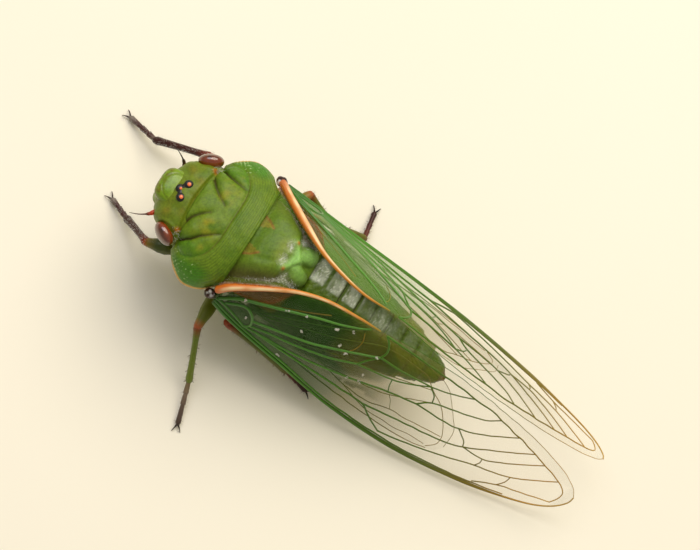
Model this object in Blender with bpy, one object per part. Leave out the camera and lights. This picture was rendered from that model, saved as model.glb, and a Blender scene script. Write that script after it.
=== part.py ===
"""Greengrocer cicada at rest, life size, as a still model standing on its six feet.

Metres, +Z up. The head points along -Y, the animal's left side is +X, and the floor is z = 0.
Sizes below are in millimetres and become metres when a mesh is made.
"""
import math

import bmesh
import bpy
from mathutils import Vector
from mathutils.geometry import delaunay_2d_cdt

MM = 0.001
GAP = 0.3            # clear space between pieces that touch
LEFT, RIGHT = 1, -1
SIDE_NAMES = {LEFT: "left", RIGHT: "right"}

# Wings: where they hinge, how the roof they form slopes, and their flat plan.
WING_HINGE = (8.26, 0.0, 14.6)
WING_TOE_IN = math.radians(5.75)
WING_DROP = {LEFT: math.radians(9.2), RIGHT: math.radians(7.05)}
WING_SLOPE = math.radians(67.2)        # slope of the roof along the wing's own long axis
WING_CURL_BACK = math.radians(2.55)    # slope lost for each mm towards the hind margin
WING_CURL_COSTA = math.radians(0.25)   # slope gained for each mm towards the costa
WING_TWIST = math.radians(-0.2)        # slope change for each mm towards the tip
MEMBRANE = 0.5
HIND_INSET = 1.3                       # hindwing's mid surface inside the forewing's
BODY_UNDER_BOTH = 2.1                  # how far the body stays inside the forewing's mid surface
BODY_UNDER_CLAVUS = 1.0                # the same where only the forewing's clavus covers it,
CLAVUS_ONLY_TO = 6.0                   # up to about this far along the wing

# Plan of the forewing: (along the wing, across it), across is plus towards the costa.
FORE_COSTA = [(1.1, 1.2), (3.4, 2.5), (6.2, 3.6), (9.6, 4.7), (13, 5.7), (16.7, 6.9), (20.3, 7.9), (24, 8.5),
              (28, 8.9), (32, 9.0), (36, 8.7), (40, 8.1), (44, 7.3), (48, 6.1), (51, 4.8), (53, 3.2), (54, 1.4)]
FORE_TIP = [(54, 0.1), (53.2, -1.1)]
FORE_HIND = [(52, -2.1), (50.2, -3.1), (46.2, -4.7), (41.5, -6.0), (36.2, -7.1), (31.2, -7.9), (26.5, -8.3),
             (22.2, -8.4), (18.6, -8.4), (14.1, -8.6), (11, -8.4), (8.2, -7.8), (6.1, -6.7), (4.1, -5.3),
             (2.1, -3.9), (1.1, -2.6), (0.7, -1.2), (0.7, 0.2)]

# Forewing veins: name: (half width, height, points)
MAIN = (0.34, 0.22)
FINE = (0.26, 0.16)
FORE_VEINS = {
    "costal": (0.62, 0.42, [(0.9, 0.6), (3.4, 1.9), (6.2, 3.0), (9.6, 4.1), (13, 5.1), (16.7, 6.3), (20.3, 7.3),
                            (24, 7.9), (28, 8.3), (32, 8.4), (36, 8.1), (40, 7.6), (44, 6.8), (47, 6.0)]),
    "clavus": (0.55, 0.4, [(0.6, -1.9), (2.3, -3.3), (4.3, -4.7), (6.3, -6.1), (8.4, -7.2), (11, -7.8),
                           (14.1, -8.0), (17, -8.0)]),
    "cubitus_hind": (0.45, 0.28, [(1.2, -0.2), (3.1, -2.0), (5.4, -3.0), (7.7, -3.9), (10.1, -4.8), (12.4, -5.6),
                                  (14.9, -6.3), (17.2, -7.2), (18.4, -7.9)]),
    "cell_front": (*MAIN, [(2.2, 0.4), (4.7, 1.7), (6.0, 2.5)]),
    "cell_hind": (*MAIN, [(2.2, 0.0), (4.3, -1.2), (6.3, 0.6), (6.6, 1.8), (6.0, 2.5)]),
    "cubitus": (*MAIN, [(6.3, 0.7), (8.6, 0.1), (11.2, -0.5), (13.7, -1.2), (16, -2.2), (18.2, -3.2), (21.7, -4.8)]),
    "cubitus_bow": (*MAIN, [(21.7, -4.8), (21.7, -6.2), (21.1, -7.5), (20.5, -8.1)]),
    "cubitus_end": (*MAIN, [(21.7, -4.8), (23.9, -4.6), (26.2, -4.5), (29.2, -4.6)]),
    "media_hind": (*MAIN, [(6.6, 1.8), (9.2, 1.2), (11.9, 0.8), (14.5, 0.2), (16.9, -0.5), (20, -2.0)]),
    "media_bridge": (*FINE, [(20, -2.0), (21.7, -4.8)]),
    "media_branch": (*FINE, [(20, -2.0), (21.8, -2.2), (24.8, -2.6), (29.2, -4.6)]),
    "media_cross": (*FINE, [(24.8, -2.6), (25.6, -0.3)]),
    "media_front": (*MAIN, [(6.0, 2.5), (9.1, 2.4), (12.1, 2.5), (16.2, 2.0), (20.8, 1.0), (25.6, -0.3), (29.4, -0.9)]),
    "radius": (*MAIN, [(15, 2.3), (18, 3.2), (21, 3.8), (24.4, 4.3), (26.4, 5.9), (28.8, 7.6)]),
    "ambient": (*MAIN, [(20.5, -8.1), (25.5, -7.5), (28.8, -7.1), (31.9, -6.7), (34.8, -6.2), (37.8, -5.8),
                        (39.3, -5.3), (42.7, -4.3), (45.8, -3.2), (47.9, -2.4), (50.9, -1.1), (52.4, 0.2),
                        (52.6, 1.6), (52.2, 2.9)]),
    "apical_1": (*MAIN, [(29.2, -4.6), (32.3, -5.3), (34.8, -6.2)]),
    "cross_1": (*MAIN, [(29.2, -4.6), (30.4, -3.5), (30.8, -2.4)]),
    "apical_2": (*MAIN, [(29.4, -0.9), (30.8, -2.4), (34.4, -3.2), (37.6, -4.1), (39.3, -5.3)]),
    "apical_3": (*MAIN, [(29.4, -0.9), (33.2, -0.6), (35.9, -0.7), (39.0, -2.0), (42.7, -4.3)]),
    "cross_2": (*FINE, [(35.9, -0.7), (37.6, 0.8), (38.2, 1.9)]),
    "apical_4": (*MAIN, [(24.4, 4.3), (29.8, 3.6), (35.4, 2.9), (38.2, 1.9), (41, 0.0), (45.8, -3.2)]),
    "apical_5": (*MAIN, [(38.2, 1.9), (41.3, 2.1), (43.8, 0.7), (47.9, -2.4)]),
    "cross_3": (*FINE, [(41.3, 2.1), (41.2, 3.9)]),
    "apical_6": (*MAIN, [(28.8, 7.6), (31.9, 7.0), (37, 5.5), (41.2, 3.9), (45.9, 2.5), (50.9, -1.1)]),
    "cross_4": (*FINE, [(45.9, 2.5), (45.4, 5.0)]),
    "apical_7": (*MAIN, [(42.7, 6.8), (45.4, 5.0), (48.4, 4.0), (52.2, 2.9)]),
}

# Plan of the hindwing, which lies folded inside the forewing.
HIND_EDGE = [(1.9, 0.4), (6, 2.4), (12, 4.2), (18, 5.4), (24, 5.8), (29, 5.0), (32.5, 3.0), (34.2, 0.2),
             (33.6, -2.6), (31, -4.9), (27, -6.2), (22, -6.8), (17, -6.8), (13, -6.0), (9.5, -4.2), (6, -2.2),
             (3.6, -1.2)]
HIND_VEINS = {
    "costal": (0.4, 0.2, [(2, 0.3), (6, 1.9), (12, 3.7), (18, 4.9), (24, 5.2), (28, 4.7)]),
    "stem": (*FINE, [(2.4, -0.3), (8, 0.4), (13, 1.4), (17.5, 2.6)]),
    "fork_front": (*FINE, [(17.5, 2.6), (23, 3.4), (28, 3.0), (32.3, 0.9)]),
    "fork_mid": (*FINE, [(17.5, 2.6), (21, 1.4), (26, 0.6), (32.3, -0.8)]),
    "fork_hind": (*FINE, [(13, 1.4), (18, -0.6), (24, -1.8), (31, -3.2)]),
    "fold_front": (*FINE, [(3.4, -0.3), (9, -1.8), (16, -3.2), (22, -4.2), (28.5, -5.0)]),
    "fold_hind": (*FINE, [(9, -1.8), (12, -3.8), (16, -5.0), (21, -5.8)]),
}

# Body stations: (y, half width, height of the widest line, top, bottom)
PRONOTUM = [(-7.0, 6.2, 13.9, 17.7, 8.6), (-6.2, 7.2, 13.7, 18.0, 8.0), (-5.2, 8.1, 13.5, 18.3, 7.7),
            (-3.9, 8.8, 13.4, 18.6, 7.5), (-2.6, 8.8, 13.5, 18.9, 7.4), (-1.2, 8.3, 13.9, 19.2, 7.4),
            (-0.2, 7.4, 14.3, 19.3, 7.5), (0.35, 7.0, 14.6, 19.2, 7.8)]
PRONOTUM_REACH = 8.8         # half the width between the shield's side margins
PRONOTUM_BELLY = 0.72        # width of the underside as a share of the shield's
COLLAR_LENGTH = 3.1
COLLAR_STEP = 0.32
FISSURE_DEPTH = 0.3

THORAX = [(0.75, 6.6, 13.6, 18.9, 7.6), (1.8, 7.2, 13.6, 19.5, 7.0), (3.2, 7.0, 13.4, 19.9, 6.7),
          (4.8, 6.6, 13.0, 20.0, 6.7), (6.4, 6.2, 12.6, 19.6, 6.8), (7.8, 5.9, 12.3, 18.9, 7.0),
          (9.0, 5.6, 12.2, 18.1, 7.4)]
THORAX_BELLY = 0.85          # width of the underside as a share of the widest line
CROSS_CENTRE_Y = 6.5
CROSS_HEIGHT = 0.75

ABDOMEN = [(9.4, 5.6, 12.0, 17.6, 7.2), (11, 6.2, 11.8, 17.5, 6.4), (13.5, 6.3, 11.6, 17.0, 6.1),
           (16, 6.0, 11.3, 16.3, 6.1), (18.5, 5.5, 11.0, 15.5, 6.3), (21, 4.8, 10.7, 14.6, 6.6),
           (23.5, 3.9, 10.4, 13.6, 7.0), (26, 2.9, 10.1, 12.5, 7.5), (28.2, 1.9, 9.9, 11.5, 8.1),
           (29.8, 1.0, 9.7, 10.6, 8.8), (30.5, 0.35, 9.6, 9.95, 9.3)]
ABDOMEN_BELLY = 0.92
ABDOMEN_SEGMENTS = 8
SEGMENT_STEP = 0.22

HEAD = [(-11.4, 2.9, 13.4, 16.3, 10.6), (-10.7, 3.9, 13.6, 16.8, 10.2), (-9.9, 4.5, 13.8, 17.3, 9.9),
        (-9.0, 4.9, 13.9, 17.7, 9.6), (-8.1, 5.3, 14.0, 17.8, 9.3), (-7.35, 5.7, 14.0, 17.6, 8.9)]
NAPE_BOW = 0.5               # how far the joint of head and shield bows back in the middle
FACE_CENTRE = (0, -10.6, 13.1)
FACE_RADII = (3.0, 2.6, 3.9)
FACE_RIDGES = 9
FACE_RIDGE = 0.11
EYE_CENTRE = (5.36, -8.64, 15.5)
EYE_RADII = (1.3, 1.65, 1.55)
EYE_TURN = math.radians(28)
OCELLI = [(0.92, -9.31, 17.62), (-0.92, -9.31, 17.62), (0.0, -9.95, 17.32)]
OCELLUS_RADIUS = 0.42
ANTENNAE = {LEFT: [(3.77, -11.1, 14.3), (4.35, -11.7, 14.3), (4.8, -12.5, 14.2), (5.2, -13.5, 14.0)],
            RIGHT: [(-3.77, -11.1, 14.7), (-4.1, -11.7, 15.0), (-4.2, -12.4, 15.2), (-4.5, -13.2, 15.3)]}
ROSTRUM = [(0, -10.4, 8.8), (0, -8.6, 7.2), (0, -6.0, 6.3), (0, -3.0, 5.9), (0, -0.6, 5.9)]

# Legs: hip, end of the coxa, knee, ankle, toe; then the radii of coxa, femur, tibia and tarsus.
LEGS = {
    ("fore", LEFT): ((3.0, -4.4, 8.2), (4.4, -6.0, 6.5), (5.5, -9.8, 6.0), (3.5, -13.4, 1.7), (2.2, -16.2, 0.45)),
    ("fore", RIGHT): ((-3.0, -4.4, 8.2), (-4.5, -5.7, 6.4), (-8.0, -8.9, 6.5), (-6.9, -15.8, 2.2), (-8.0, -20.0, 0.45)),
    ("mid", LEFT): ((3.6, 0.8, 8.0), (5.4, 1.0, 6.4), (11.1, 1.2, 7.2), (16.5, 4.2, 1.8), (21.6, 6.0, 0.45)),
    ("mid", RIGHT): ((-3.6, 0.8, 8.0), (-5.4, 1.3, 6.3), (-11.2, 4.2, 5.7), (-9.8, 10.6, 1.6), (-7.2, 14.0, 0.45)),
    ("hind", LEFT): ((3.0, 5.2, 8.0), (3.9, 6.7, 6.1), (8.7, 4.0, 7.2), (8.7, 13.9, 1.7), (9.2, 17.4, 0.45)),
    ("hind", RIGHT): ((-3.0, 5.2, 8.0), (-3.9, 6.7, 6.1), (-8.7, 6.1, 7.3), (-11.3, 13.3, 1.8), (-15.2, 12.8, 0.45)),
}
LEG_RADII = {"fore": (1.1, 1.15, 0.56, 0.42), "mid": (1.1, 0.95, 0.46, 0.42), "hind": (1.1, 0.9, 0.48, 0.42)}
CLAW_LENGTH = 1.3
CLAW_HEIGHT = 0.2
CLAW_SPREAD = math.radians(32)

# Opercula: the pair of plates under the base of the abdomen.
OPERCULUM_CENTRE = (3.0, 10.3)
OPERCULUM_RADII = (2.5, 2.6)
OPERCULUM_THICK = 0.6

COLOURS = {
    "green_shell": (0.16, 0.26, 0.02, 0.35),
    "lime_face": (0.22, 0.37, 0.02, 0.25),
    "dark_green": (0.03, 0.05, 0.01, 0.4),
    "eye_brown": (0.2, 0.03, 0.01, 0.15),
    "leg_brown": (0.07, 0.015, 0.01, 0.35),
    "wing_clear": (0.5, 0.5, 0.3, 0.2),
    "underside": (0.2, 0.22, 0.08, 0.45),
}


def clear_scene():
    for item in list(bpy.data.objects):
        bpy.data.objects.remove(item, do_unlink=True)


def material(name):
    found = bpy.data.materials.get(name)
    if found:
        return found
    made = bpy.data.materials.new(name)
    made.use_nodes = True
    red, green, blue, rough = COLOURS[name]
    shader = made.node_tree.nodes["Principled BSDF"]
    shader.inputs["Base Color"].default_value = (red, green, blue, 1)
    shader.inputs["Roughness"].default_value = rough
    return made


def solid(name, verts, faces, look):
    """One object from points in millimetres."""
    mesh = bpy.data.meshes.new(name)
    mesh.from_pydata([Vector(v) * MM for v in verts], [], faces)
    mesh.materials.append(material(look))
    mesh.shade_smooth()
    made = bpy.data.objects.new(name, mesh)
    bpy.context.scene.collection.objects.link(made)
    work = bmesh.new()
    work.from_mesh(mesh)
    bmesh.ops.recalc_face_normals(work, faces=work.faces)
    if work.calc_volume(signed=True) < 0:
        bmesh.ops.reverse_faces(work, faces=work.faces)
    work.to_mesh(mesh)
    work.free()
    return made


def smooth_path(points, step):
    """Points about one step apart on a smooth curve through the given points."""
    path = [Vector(p) for p in points]
    ends = [2 * path[0] - path[1]] + path + [2 * path[-1] - path[-2]]
    out = [path[0]]
    for i in range(1, len(ends) - 2):
        a, b, c, d = ends[i - 1:i + 3]
        parts = max(1, round((c - b).length / step))
        for k in range(1, parts + 1):
            t = k / parts
            out.append(0.5 * (2 * b + (c - a) * t + (2 * a - 5 * b + 4 * c - d) * t * t
                              + (3 * b - a - 3 * c + d) * t ** 3))
    return out


def smooth_stations(stations, step):
    """More stations between the given ones; each is (y, then any sizes)."""
    rows = [tuple(row) for row in stations]
    out = []
    for i in range(len(rows) - 1):
        before = rows[max(i - 1, 0)]
        here, there = rows[i], rows[i + 1]
        after = rows[min(i + 2, len(rows) - 1)]
        parts = max(1, round((there[0] - here[0]) / step))
        for k in range(parts):
            t = k / parts
            row = []
            for a, b, c, d in zip(before, here, there, after):
                row.append(0.5 * (2 * b + (c - a) * t + (2 * a - 5 * b + 4 * c - d) * t * t
                                  + (3 * b - a - 3 * c + d) * t ** 3))
            row[0] = here[0] + (there[0] - here[0]) * t
            out.append(tuple(row))
    out.append(rows[-1])
    return out


def body_ring(station, sides, belly=0.9, top_power=2.1):
    """A closed section: a round arch above the widest line, a narrower belly below it."""
    y, wide, mid, top, low = station
    ring = []
    for i in range(sides):
        angle = 2 * math.pi * i / sides
        c, s = math.cos(angle), math.sin(angle)
        power = 2 / top_power
        x = wide * math.copysign(abs(c) ** power, c)
        if s >= 0:
            z = mid + (top - mid) * s ** power
        else:
            z = mid - (mid - low) * (-s) ** power
            x *= 1 - (1 - belly) * min(1, -s / 0.35)
        ring.append(Vector((x, y, z)))
    return ring


def skin_rings(rings):
    """Vertices and faces of a closed loft with a fan at each end."""
    count = len(rings[0])
    verts = [v for ring in rings for v in ring]
    faces = []
    for r in range(len(rings) - 1):
        for i in range(count):
            j = (i + 1) % count
            a, b = r * count, (r + 1) * count
            faces.append((a + i, a + j, b + j))
            faces.append((a + i, b + j, b + i))
    for ring, base in ((rings[0], 0), (rings[-1], (len(rings) - 1) * count)):
        middle = sum(ring, Vector()) / count
        verts.append(middle)
        for i in range(count):
            faces.append((len(verts) - 1, base + i, base + (i + 1) % count))
    return verts, faces


def path_frames(path):
    """Two side directions at each point of a path, turned as little as possible."""
    frames = []
    side = None
    for i, point in enumerate(path):
        along = (path[min(i + 1, len(path) - 1)] - path[max(i - 1, 0)]).normalized()
        if side is None:
            side = along.cross(Vector((0, 0, 1)))
            if side.length < 1e-3:
                side = along.cross(Vector((1, 0, 0)))
        side = (side - along * side.dot(along)).normalized()
        frames.append((along, side, along.cross(side).normalized()))
    return frames


def tube(name, path, radii, look, sides=8, flat=1.0, floor=None):
    """A round-ended tube; radii follow the path, flat squashes it upright."""
    path = [Vector(p) for p in path]
    frames = path_frames(path)
    rings = []
    tips = ((0, -0.8, 0.62), (0, -0.35, 0.92))
    along, side, up = frames[0]
    for _, shift, share in tips:
        centre = path[0] + along * (radii[0] * (1 + shift))
        rings.append((centre - along * 0, side, up, radii[0] * share))
    for point, (along, side, up), radius in zip(path[1:-1], frames[1:-1], radii[1:-1]):
        rings.append((point, side, up, radius))
    along, side, up = frames[-1]
    for _, shift, share in reversed(tips):
        centre = path[-1] - along * (radii[-1] * (1 + shift))
        rings.append((centre, side, up, radii[-1] * share))
    loops = []
    for centre, side, up, radius in rings:
        loop = []
        for i in range(sides):
            angle = 2 * math.pi * (i + 0.5) / sides
            point = centre + side * (radius * math.cos(angle)) + up * (radius * flat * math.sin(angle))
            if floor is not None:
                point.z = max(point.z, floor)
            loop.append(point)
        loops.append(loop)
    verts, faces = skin_rings(loops)
    return solid(name, verts, faces, look)


def ellipsoid(name, centre, radii, turn, look, around=16, rows=10, grow=0.0, dent=None):
    """A closed ellipsoid turned about the upright; dent moves a point along its normal."""
    verts, faces = [], []
    cos_t, sin_t = math.cos(turn), math.sin(turn)
    for r in range(rows + 1):
        lat = math.pi * r / rows - math.pi / 2
        count = 1 if r in (0, rows) else around
        for i in range(count):
            lon = 2 * math.pi * i / around
            unit = Vector((math.cos(lat) * math.cos(lon), math.cos(lat) * math.sin(lon), math.sin(lat)))
            extra = grow + (dent(unit) if dent else 0)
            local = Vector([unit[k] * (radii[k] + extra) for k in range(3)])
            verts.append((centre[0] + local.x * cos_t - local.y * sin_t,
                          centre[1] + local.x * sin_t + local.y * cos_t, centre[2] + local.z))
    def at(row, i):
        if row == 0:
            return 0
        if row == rows:
            return len(verts) - 1
        return 1 + (row - 1) * around + i % around
    for r in range(rows):
        for i in range(around):
            corners = [at(r, i), at(r, i + 1), at(r + 1, i + 1), at(r + 1, i)]
            kept = list(dict.fromkeys(corners))
            if len(kept) == 4:
                faces += [(kept[0], kept[1], kept[2]), (kept[0], kept[2], kept[3])]
            else:
                faces.append(tuple(kept))
    return solid(name, verts, faces, look)


def keep_largest(item):
    """Only the largest closed surface of the mesh stays."""
    work = bmesh.new()
    work.from_mesh(item.data)
    left = set(work.faces)
    groups = []
    while left:
        seed = left.pop()
        group, stack = {seed}, [seed]
        while stack:
            face = stack.pop()
            for edge in face.edges:
                for other in edge.link_faces:
                    if other in left:
                        left.discard(other)
                        group.add(other)
                        stack.append(other)
        groups.append(group)
    groups.sort(key=lambda g: sum(f.calc_area() for f in g), reverse=True)
    for group in groups[1:]:
        bmesh.ops.delete(work, geom=list(group), context="FACES")
    loose = [v for v in work.verts if not v.link_faces]
    bmesh.ops.delete(work, geom=loose, context="VERTS")
    bmesh.ops.triangulate(work, faces=work.faces)
    work.to_mesh(item.data)
    work.free()


def combine(item, others, operation):
    """Union or difference of an object with others, applied; the others are removed."""
    group = bpy.data.collections.new(item.name + "_pieces")
    bpy.context.scene.collection.children.link(group)
    for other in others:
        group.objects.link(other)
    cut = item.modifiers.new("join", "BOOLEAN")
    cut.operation = operation
    cut.solver = "EXACT"
    cut.operand_type = "COLLECTION"
    cut.collection = group
    bpy.context.view_layer.update()
    graph = bpy.context.evaluated_depsgraph_get()
    result = bpy.data.meshes.new_from_object(item.evaluated_get(graph))
    item.modifiers.clear()
    item.data = result
    for other in others:
        bpy.data.objects.remove(other, do_unlink=True)
    bpy.data.collections.remove(group)
    keep_largest(item)
    return item


def wing_point(u, v, side, lift):
    """Point of the roof-like wing surface; lift is the height above it, outwards."""
    toe, drop = -WING_TOE_IN, WING_DROP[side]
    along = Vector((math.sin(toe) * math.cos(drop), math.cos(toe) * math.cos(drop), -math.sin(drop)))
    out = Vector((math.cos(toe), -math.sin(toe), 0))
    up = out.cross(along)
    bend = WING_CURL_BACK if v < 0 else WING_CURL_COSTA
    start = WING_SLOPE + WING_TWIST * u
    slope = start + bend * v
    across = (math.sin(slope) - math.sin(start)) / bend
    down = (math.cos(start) - math.cos(slope)) / bend
    normal = out * math.sin(slope) + up * math.cos(slope)
    point = Vector(WING_HINGE) + along * u + out * across - up * down + normal * lift
    return Vector((point.x * side, point.y, point.z))


def roof_limit(y, z):
    """How far from the middle the body may reach at this place under the narrower side of the roof."""
    limit = 1e9
    for side in (LEFT, RIGHT):
        line = []
        for step in range(0, 35):
            v = -8.4 + 0.5 * step
            u = max(y, 0.0)
            for _ in range(3):
                clavus_only = v < -3 and u < CLAVUS_ONLY_TO + 0.6 * (v + 3)
                clear = BODY_UNDER_CLAVUS if clavus_only else BODY_UNDER_BOTH
                place = wing_point(u, v, side, -clear)
                u = max(u + y - place.y, 0.0)
            line.append((abs(place.x), place.z))
        if z >= line[0][1]:
            limit = min(limit, line[0][0])
            continue
        for (xa, za), (xb, zb) in zip(line, line[1:]):
            if zb <= z <= za:
                limit = min(limit, xa + (xb - xa) * (za - z) / max(za - zb, 1e-9))
                break
    return limit


def under_roof(point):
    """The point moved inwards, smoothly, to where the wings leave room for it."""
    if point.y < 0.5 or abs(point.x) < 0.1:
        return point
    limit = roof_limit(point.y, point.z)
    if limit > 1e6:
        return point
    x = (abs(point.x) ** -8 + limit ** -8) ** -0.125
    return Vector((math.copysign(x, point.x), point.y, point.z))


def distance_to_path(point, path):
    best = 1e9
    for a, b in zip(path, path[1:]):
        span = b - a
        t = max(0, min(1, (point - a).dot(span) / max(span.length_squared, 1e-12)))
        best = min(best, (a + span * t - point).length)
    return best


def inside(point, loop):
    hit = False
    for a, b in zip(loop, loop[1:] + loop[:1]):
        if (a.y > point.y) != (b.y > point.y):
            if point.x < (b.x - a.x) * (point.y - a.y) / (b.y - a.y) + a.x:
                hit = not hit
    return hit


def wing(name, outline, veins, side, inset, look):
    """A membrane of even thickness whose veins stand up as ridges on both faces."""
    loop = [Vector(p) for p in outline]
    points = list(loop)
    edges = [(i, (i + 1) % len(loop)) for i in range(len(loop))]
    paths = []
    for half, height, route in veins.values():
        path = smooth_path(route, 2.6)
        paths.append((half, height, path))
        for offset in (-half, 0, half):
            line = []
            for i, point in enumerate(path):
                run = (path[min(i + 1, len(path) - 1)] - path[max(i - 1, 0)]).normalized()
                moved = point + Vector((-run.y, run.x)) * offset
                clear = distance_to_path(moved, loop + loop[:1]) > 0.12
                line.append(moved if clear and inside(moved, loop) else None)
            for a, b in zip(line, line[1:]):
                if a is not None and b is not None:
                    points += [a, b]
                    edges.append((len(points) - 2, len(points) - 1))
    flat, _, triangles, *_ = delaunay_2d_cdt(points, edges, [], 0, 0.03)
    triangles = [t for t in triangles if inside(sum((flat[i] for i in t), Vector((0, 0))) / 3, loop)]
    used = sorted({i for t in triangles for i in t})
    index = {old: new for new, old in enumerate(used)}
    heights = []
    for i in used:
        rise = 0
        for half, height, path in paths:
            rise = max(rise, height * (1 - distance_to_path(flat[i], path) / half))
        heights.append(rise)
    verts, faces = [], []
    for sign in (1, -1):
        for i, rise in zip(used, heights):
            lift = sign * (MEMBRANE / 2 + rise) - inset
            verts.append(wing_point(flat[i].x, flat[i].y, side, lift))
    count = len(used)
    rim = {}
    for t in triangles:
        a, b, c = (index[i] for i in t)
        faces.append((a, b, c))
        faces.append((c + count, b + count, a + count))
        for edge in ((a, b), (b, c), (c, a)):
            rim[edge] = rim.get(edge, 0) + 1
    for a, b in rim:
        if (b, a) not in rim:
            faces.append((b, a, a + count))
            faces.append((b, a + count, b + count))
    return solid(name, verts, faces, look)


def ridge(distance, half, height):
    """Height of a rounded ridge at a distance from its middle line."""
    return height * max(0.0, 1 - (distance / half) ** 2)


def nape(point, share):
    """Bows the joint of head and shield back in the middle of the back; share fades it in."""
    reach = min(1, abs(point.x) / PRONOTUM_REACH)
    point.y += NAPE_BOW * (1 - reach ** 2) * max(0, min(1, share))


def pronotum():
    rings = []
    front = PRONOTUM[0][0]
    for station in smooth_stations(PRONOTUM, 0.62):
        ring = body_ring(station, 36, PRONOTUM_BELLY, 2.2)
        y = station[0]
        for p in ring:
            if p.z <= station[2]:
                nape(p, (1 - (y - front) / 2.2) * max(0, 1 - (station[2] - p.z) / 4))
                continue
            reach = abs(p.x) / PRONOTUM_REACH
            nape(p, 1 - (y - front) / 2.2)
            collar_front = PRONOTUM[-1][0] - COLLAR_LENGTH - 1.7 * max(0, reach - 0.55)
            if y > collar_front:
                p.z += COLLAR_STEP * min(1, (y - collar_front) / 0.5)
            else:
                for first, last in (((1.5, -6.2), (3.6, -3.6)), ((4.2, -6.6), (5.6, -4.2))):
                    gap = distance_to_path(Vector((abs(p.x), y)), [Vector(first), Vector(last)])
                    p.z -= ridge(gap, 0.75, FISSURE_DEPTH)
        rings.append(ring)
    return solid("pronotum", *skin_rings(rings), "green_shell")


def thorax():
    rings = []
    arms = ([Vector((0, CROSS_CENTRE_Y)), Vector((1.7, CROSS_CENTRE_Y - 1.3))],
            [Vector((0, CROSS_CENTRE_Y)), Vector((1.9, CROSS_CENTRE_Y + 2.2))])
    for station in smooth_stations(THORAX, 0.6):
        ring = [under_roof(p) for p in body_ring(station, 36, THORAX_BELLY, 2.05)]
        for p in ring:
            if p.z > station[2]:
                near = min(distance_to_path(Vector((abs(p.x), p.y)), arm) for arm in arms)
                p.z += ridge(near, 1.0, CROSS_HEIGHT)
        rings.append(ring)
    return solid("thorax", *skin_rings(rings), "green_shell")


def abdomen():
    rings = []
    start, end = ABDOMEN[1][0], ABDOMEN[-2][0]
    length = (end - start) / ABDOMEN_SEGMENTS
    ys = [ABDOMEN[0][0], (ABDOMEN[0][0] + start) / 2]
    for k in range(ABDOMEN_SEGMENTS):
        ys += [start + length * (k + share) for share in (0.0, 0.14, 0.9)]
    ys += [end, (end + ABDOMEN[-1][0]) / 2, ABDOMEN[-1][0]]
    fine = smooth_stations(ABDOMEN, 0.25)
    for y in ys:
        row = min(fine, key=lambda s: abs(s[0] - y))
        phase = (y - start) / length % 1
        proud = SEGMENT_STEP * (phase if start < y < end else 0)
        _, wide, mid, top, low = row
        ring = body_ring((y, wide + proud - 0.1, mid, top + proud - 0.1, low - proud + 0.1), 24, ABDOMEN_BELLY, 2.15)
        rings.append([under_roof(p) for p in ring])
    return solid("abdomen", *skin_rings(rings), "dark_green")


def face_ridges(unit):
    """Cross ridges down both sides of the face, with a smooth strip between them."""
    if unit.y > 0.2:
        return 0
    side = min(1, max(0, (abs(unit.x) - 0.12) / 0.25))
    return FACE_RIDGE * side * math.cos(2 * math.pi * FACE_RIDGES * (unit.z + 1) / 2)


def head():
    rings = []
    rear = HEAD[-1][0]
    for station in smooth_stations(HEAD, 0.7):
        ring = body_ring(station, 30, 0.8, 2.4)
        for p in ring:
            under = max(0, station[2] - p.z)
            nape(p, (1 - (rear - station[0]) / 2) * max(0, 1 - under / 4))
        rings.append(ring)
    skull = solid("head", *skin_rings(rings), "green_shell")
    bumps = [ellipsoid("ocellus", place, (OCELLUS_RADIUS,) * 3, 0, "eye_brown", 8, 6) for place in OCELLI]
    combine(skull, bumps, "UNION")
    cutters = [ellipsoid("cut_face", FACE_CENTRE, FACE_RADII, 0, "lime_face", 20, 18,
                         grow=1.5 * GAP)]
    for side in (LEFT, RIGHT):
        centre = (EYE_CENTRE[0] * side, EYE_CENTRE[1], EYE_CENTRE[2])
        cutters.append(ellipsoid("cut_eye", centre, EYE_RADII, -EYE_TURN * side, "eye_brown", 12, 8, grow=1.2 * GAP))
    combine(skull, cutters, "DIFFERENCE")
    ellipsoid("postclypeus", FACE_CENTRE, FACE_RADII, 0, "lime_face", 20, 27, dent=face_ridges)
    for side in (LEFT, RIGHT):
        centre = (EYE_CENTRE[0] * side, EYE_CENTRE[1], EYE_CENTRE[2])
        ellipsoid("eye_" + SIDE_NAMES[side], centre, EYE_RADII, -EYE_TURN * side, "eye_brown")
        path = smooth_path(ANTENNAE[side], 0.5)
        radii = [0.34 - 0.2 * i / (len(path) - 1) for i in range(len(path))]
        tube("antenna_" + SIDE_NAMES[side], path, radii, "leg_brown", 6)
    path = smooth_path(ROSTRUM, 1.0)
    radii = [0.85 - 0.5 * i / (len(path) - 1) for i in range(len(path))]
    tube("rostrum", path, radii, "leg_brown", 8)


def mitre(before, joint, after):
    """The plane that halves a joint's bend; both leg pieces end flat on it, half a gap away."""
    return joint, ((joint - before).normalized() + (after - joint).normalized()).normalized()


def limb(name, start, end, shape, look, sides=8, floor=None, cut_start=None, cut_end=None):
    """A straight leg piece; shape lists (share of the length, radius), cuts are mitre planes."""
    start, end = Vector(start), Vector(end)
    along = (end - start).normalized()
    _, side, up = path_frames([start, end])[0]
    loops = []
    for place, (share, radius) in enumerate(shape):
        loop = []
        for i in range(sides):
            angle = 2 * math.pi * (i + 0.5) / sides
            point = start.lerp(end, share) + side * (radius * math.cos(angle)) + up * (radius * math.sin(angle))
            for cut, sign, is_end in ((cut_start, 1, place == 0), (cut_end, -1, place == len(shape) - 1)):
                if cut:
                    plane, normal = cut
                    short = sign * GAP / 2 - (point - plane).dot(normal)
                    if is_end or short * sign > 0:
                        point += along * (short / along.dot(normal))
            if floor is not None:
                point.z = max(point.z, floor)
            loop.append(point)
        loops.append(loop)
    verts, faces = skin_rings(loops)
    return solid(name, verts, faces, look)


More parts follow.
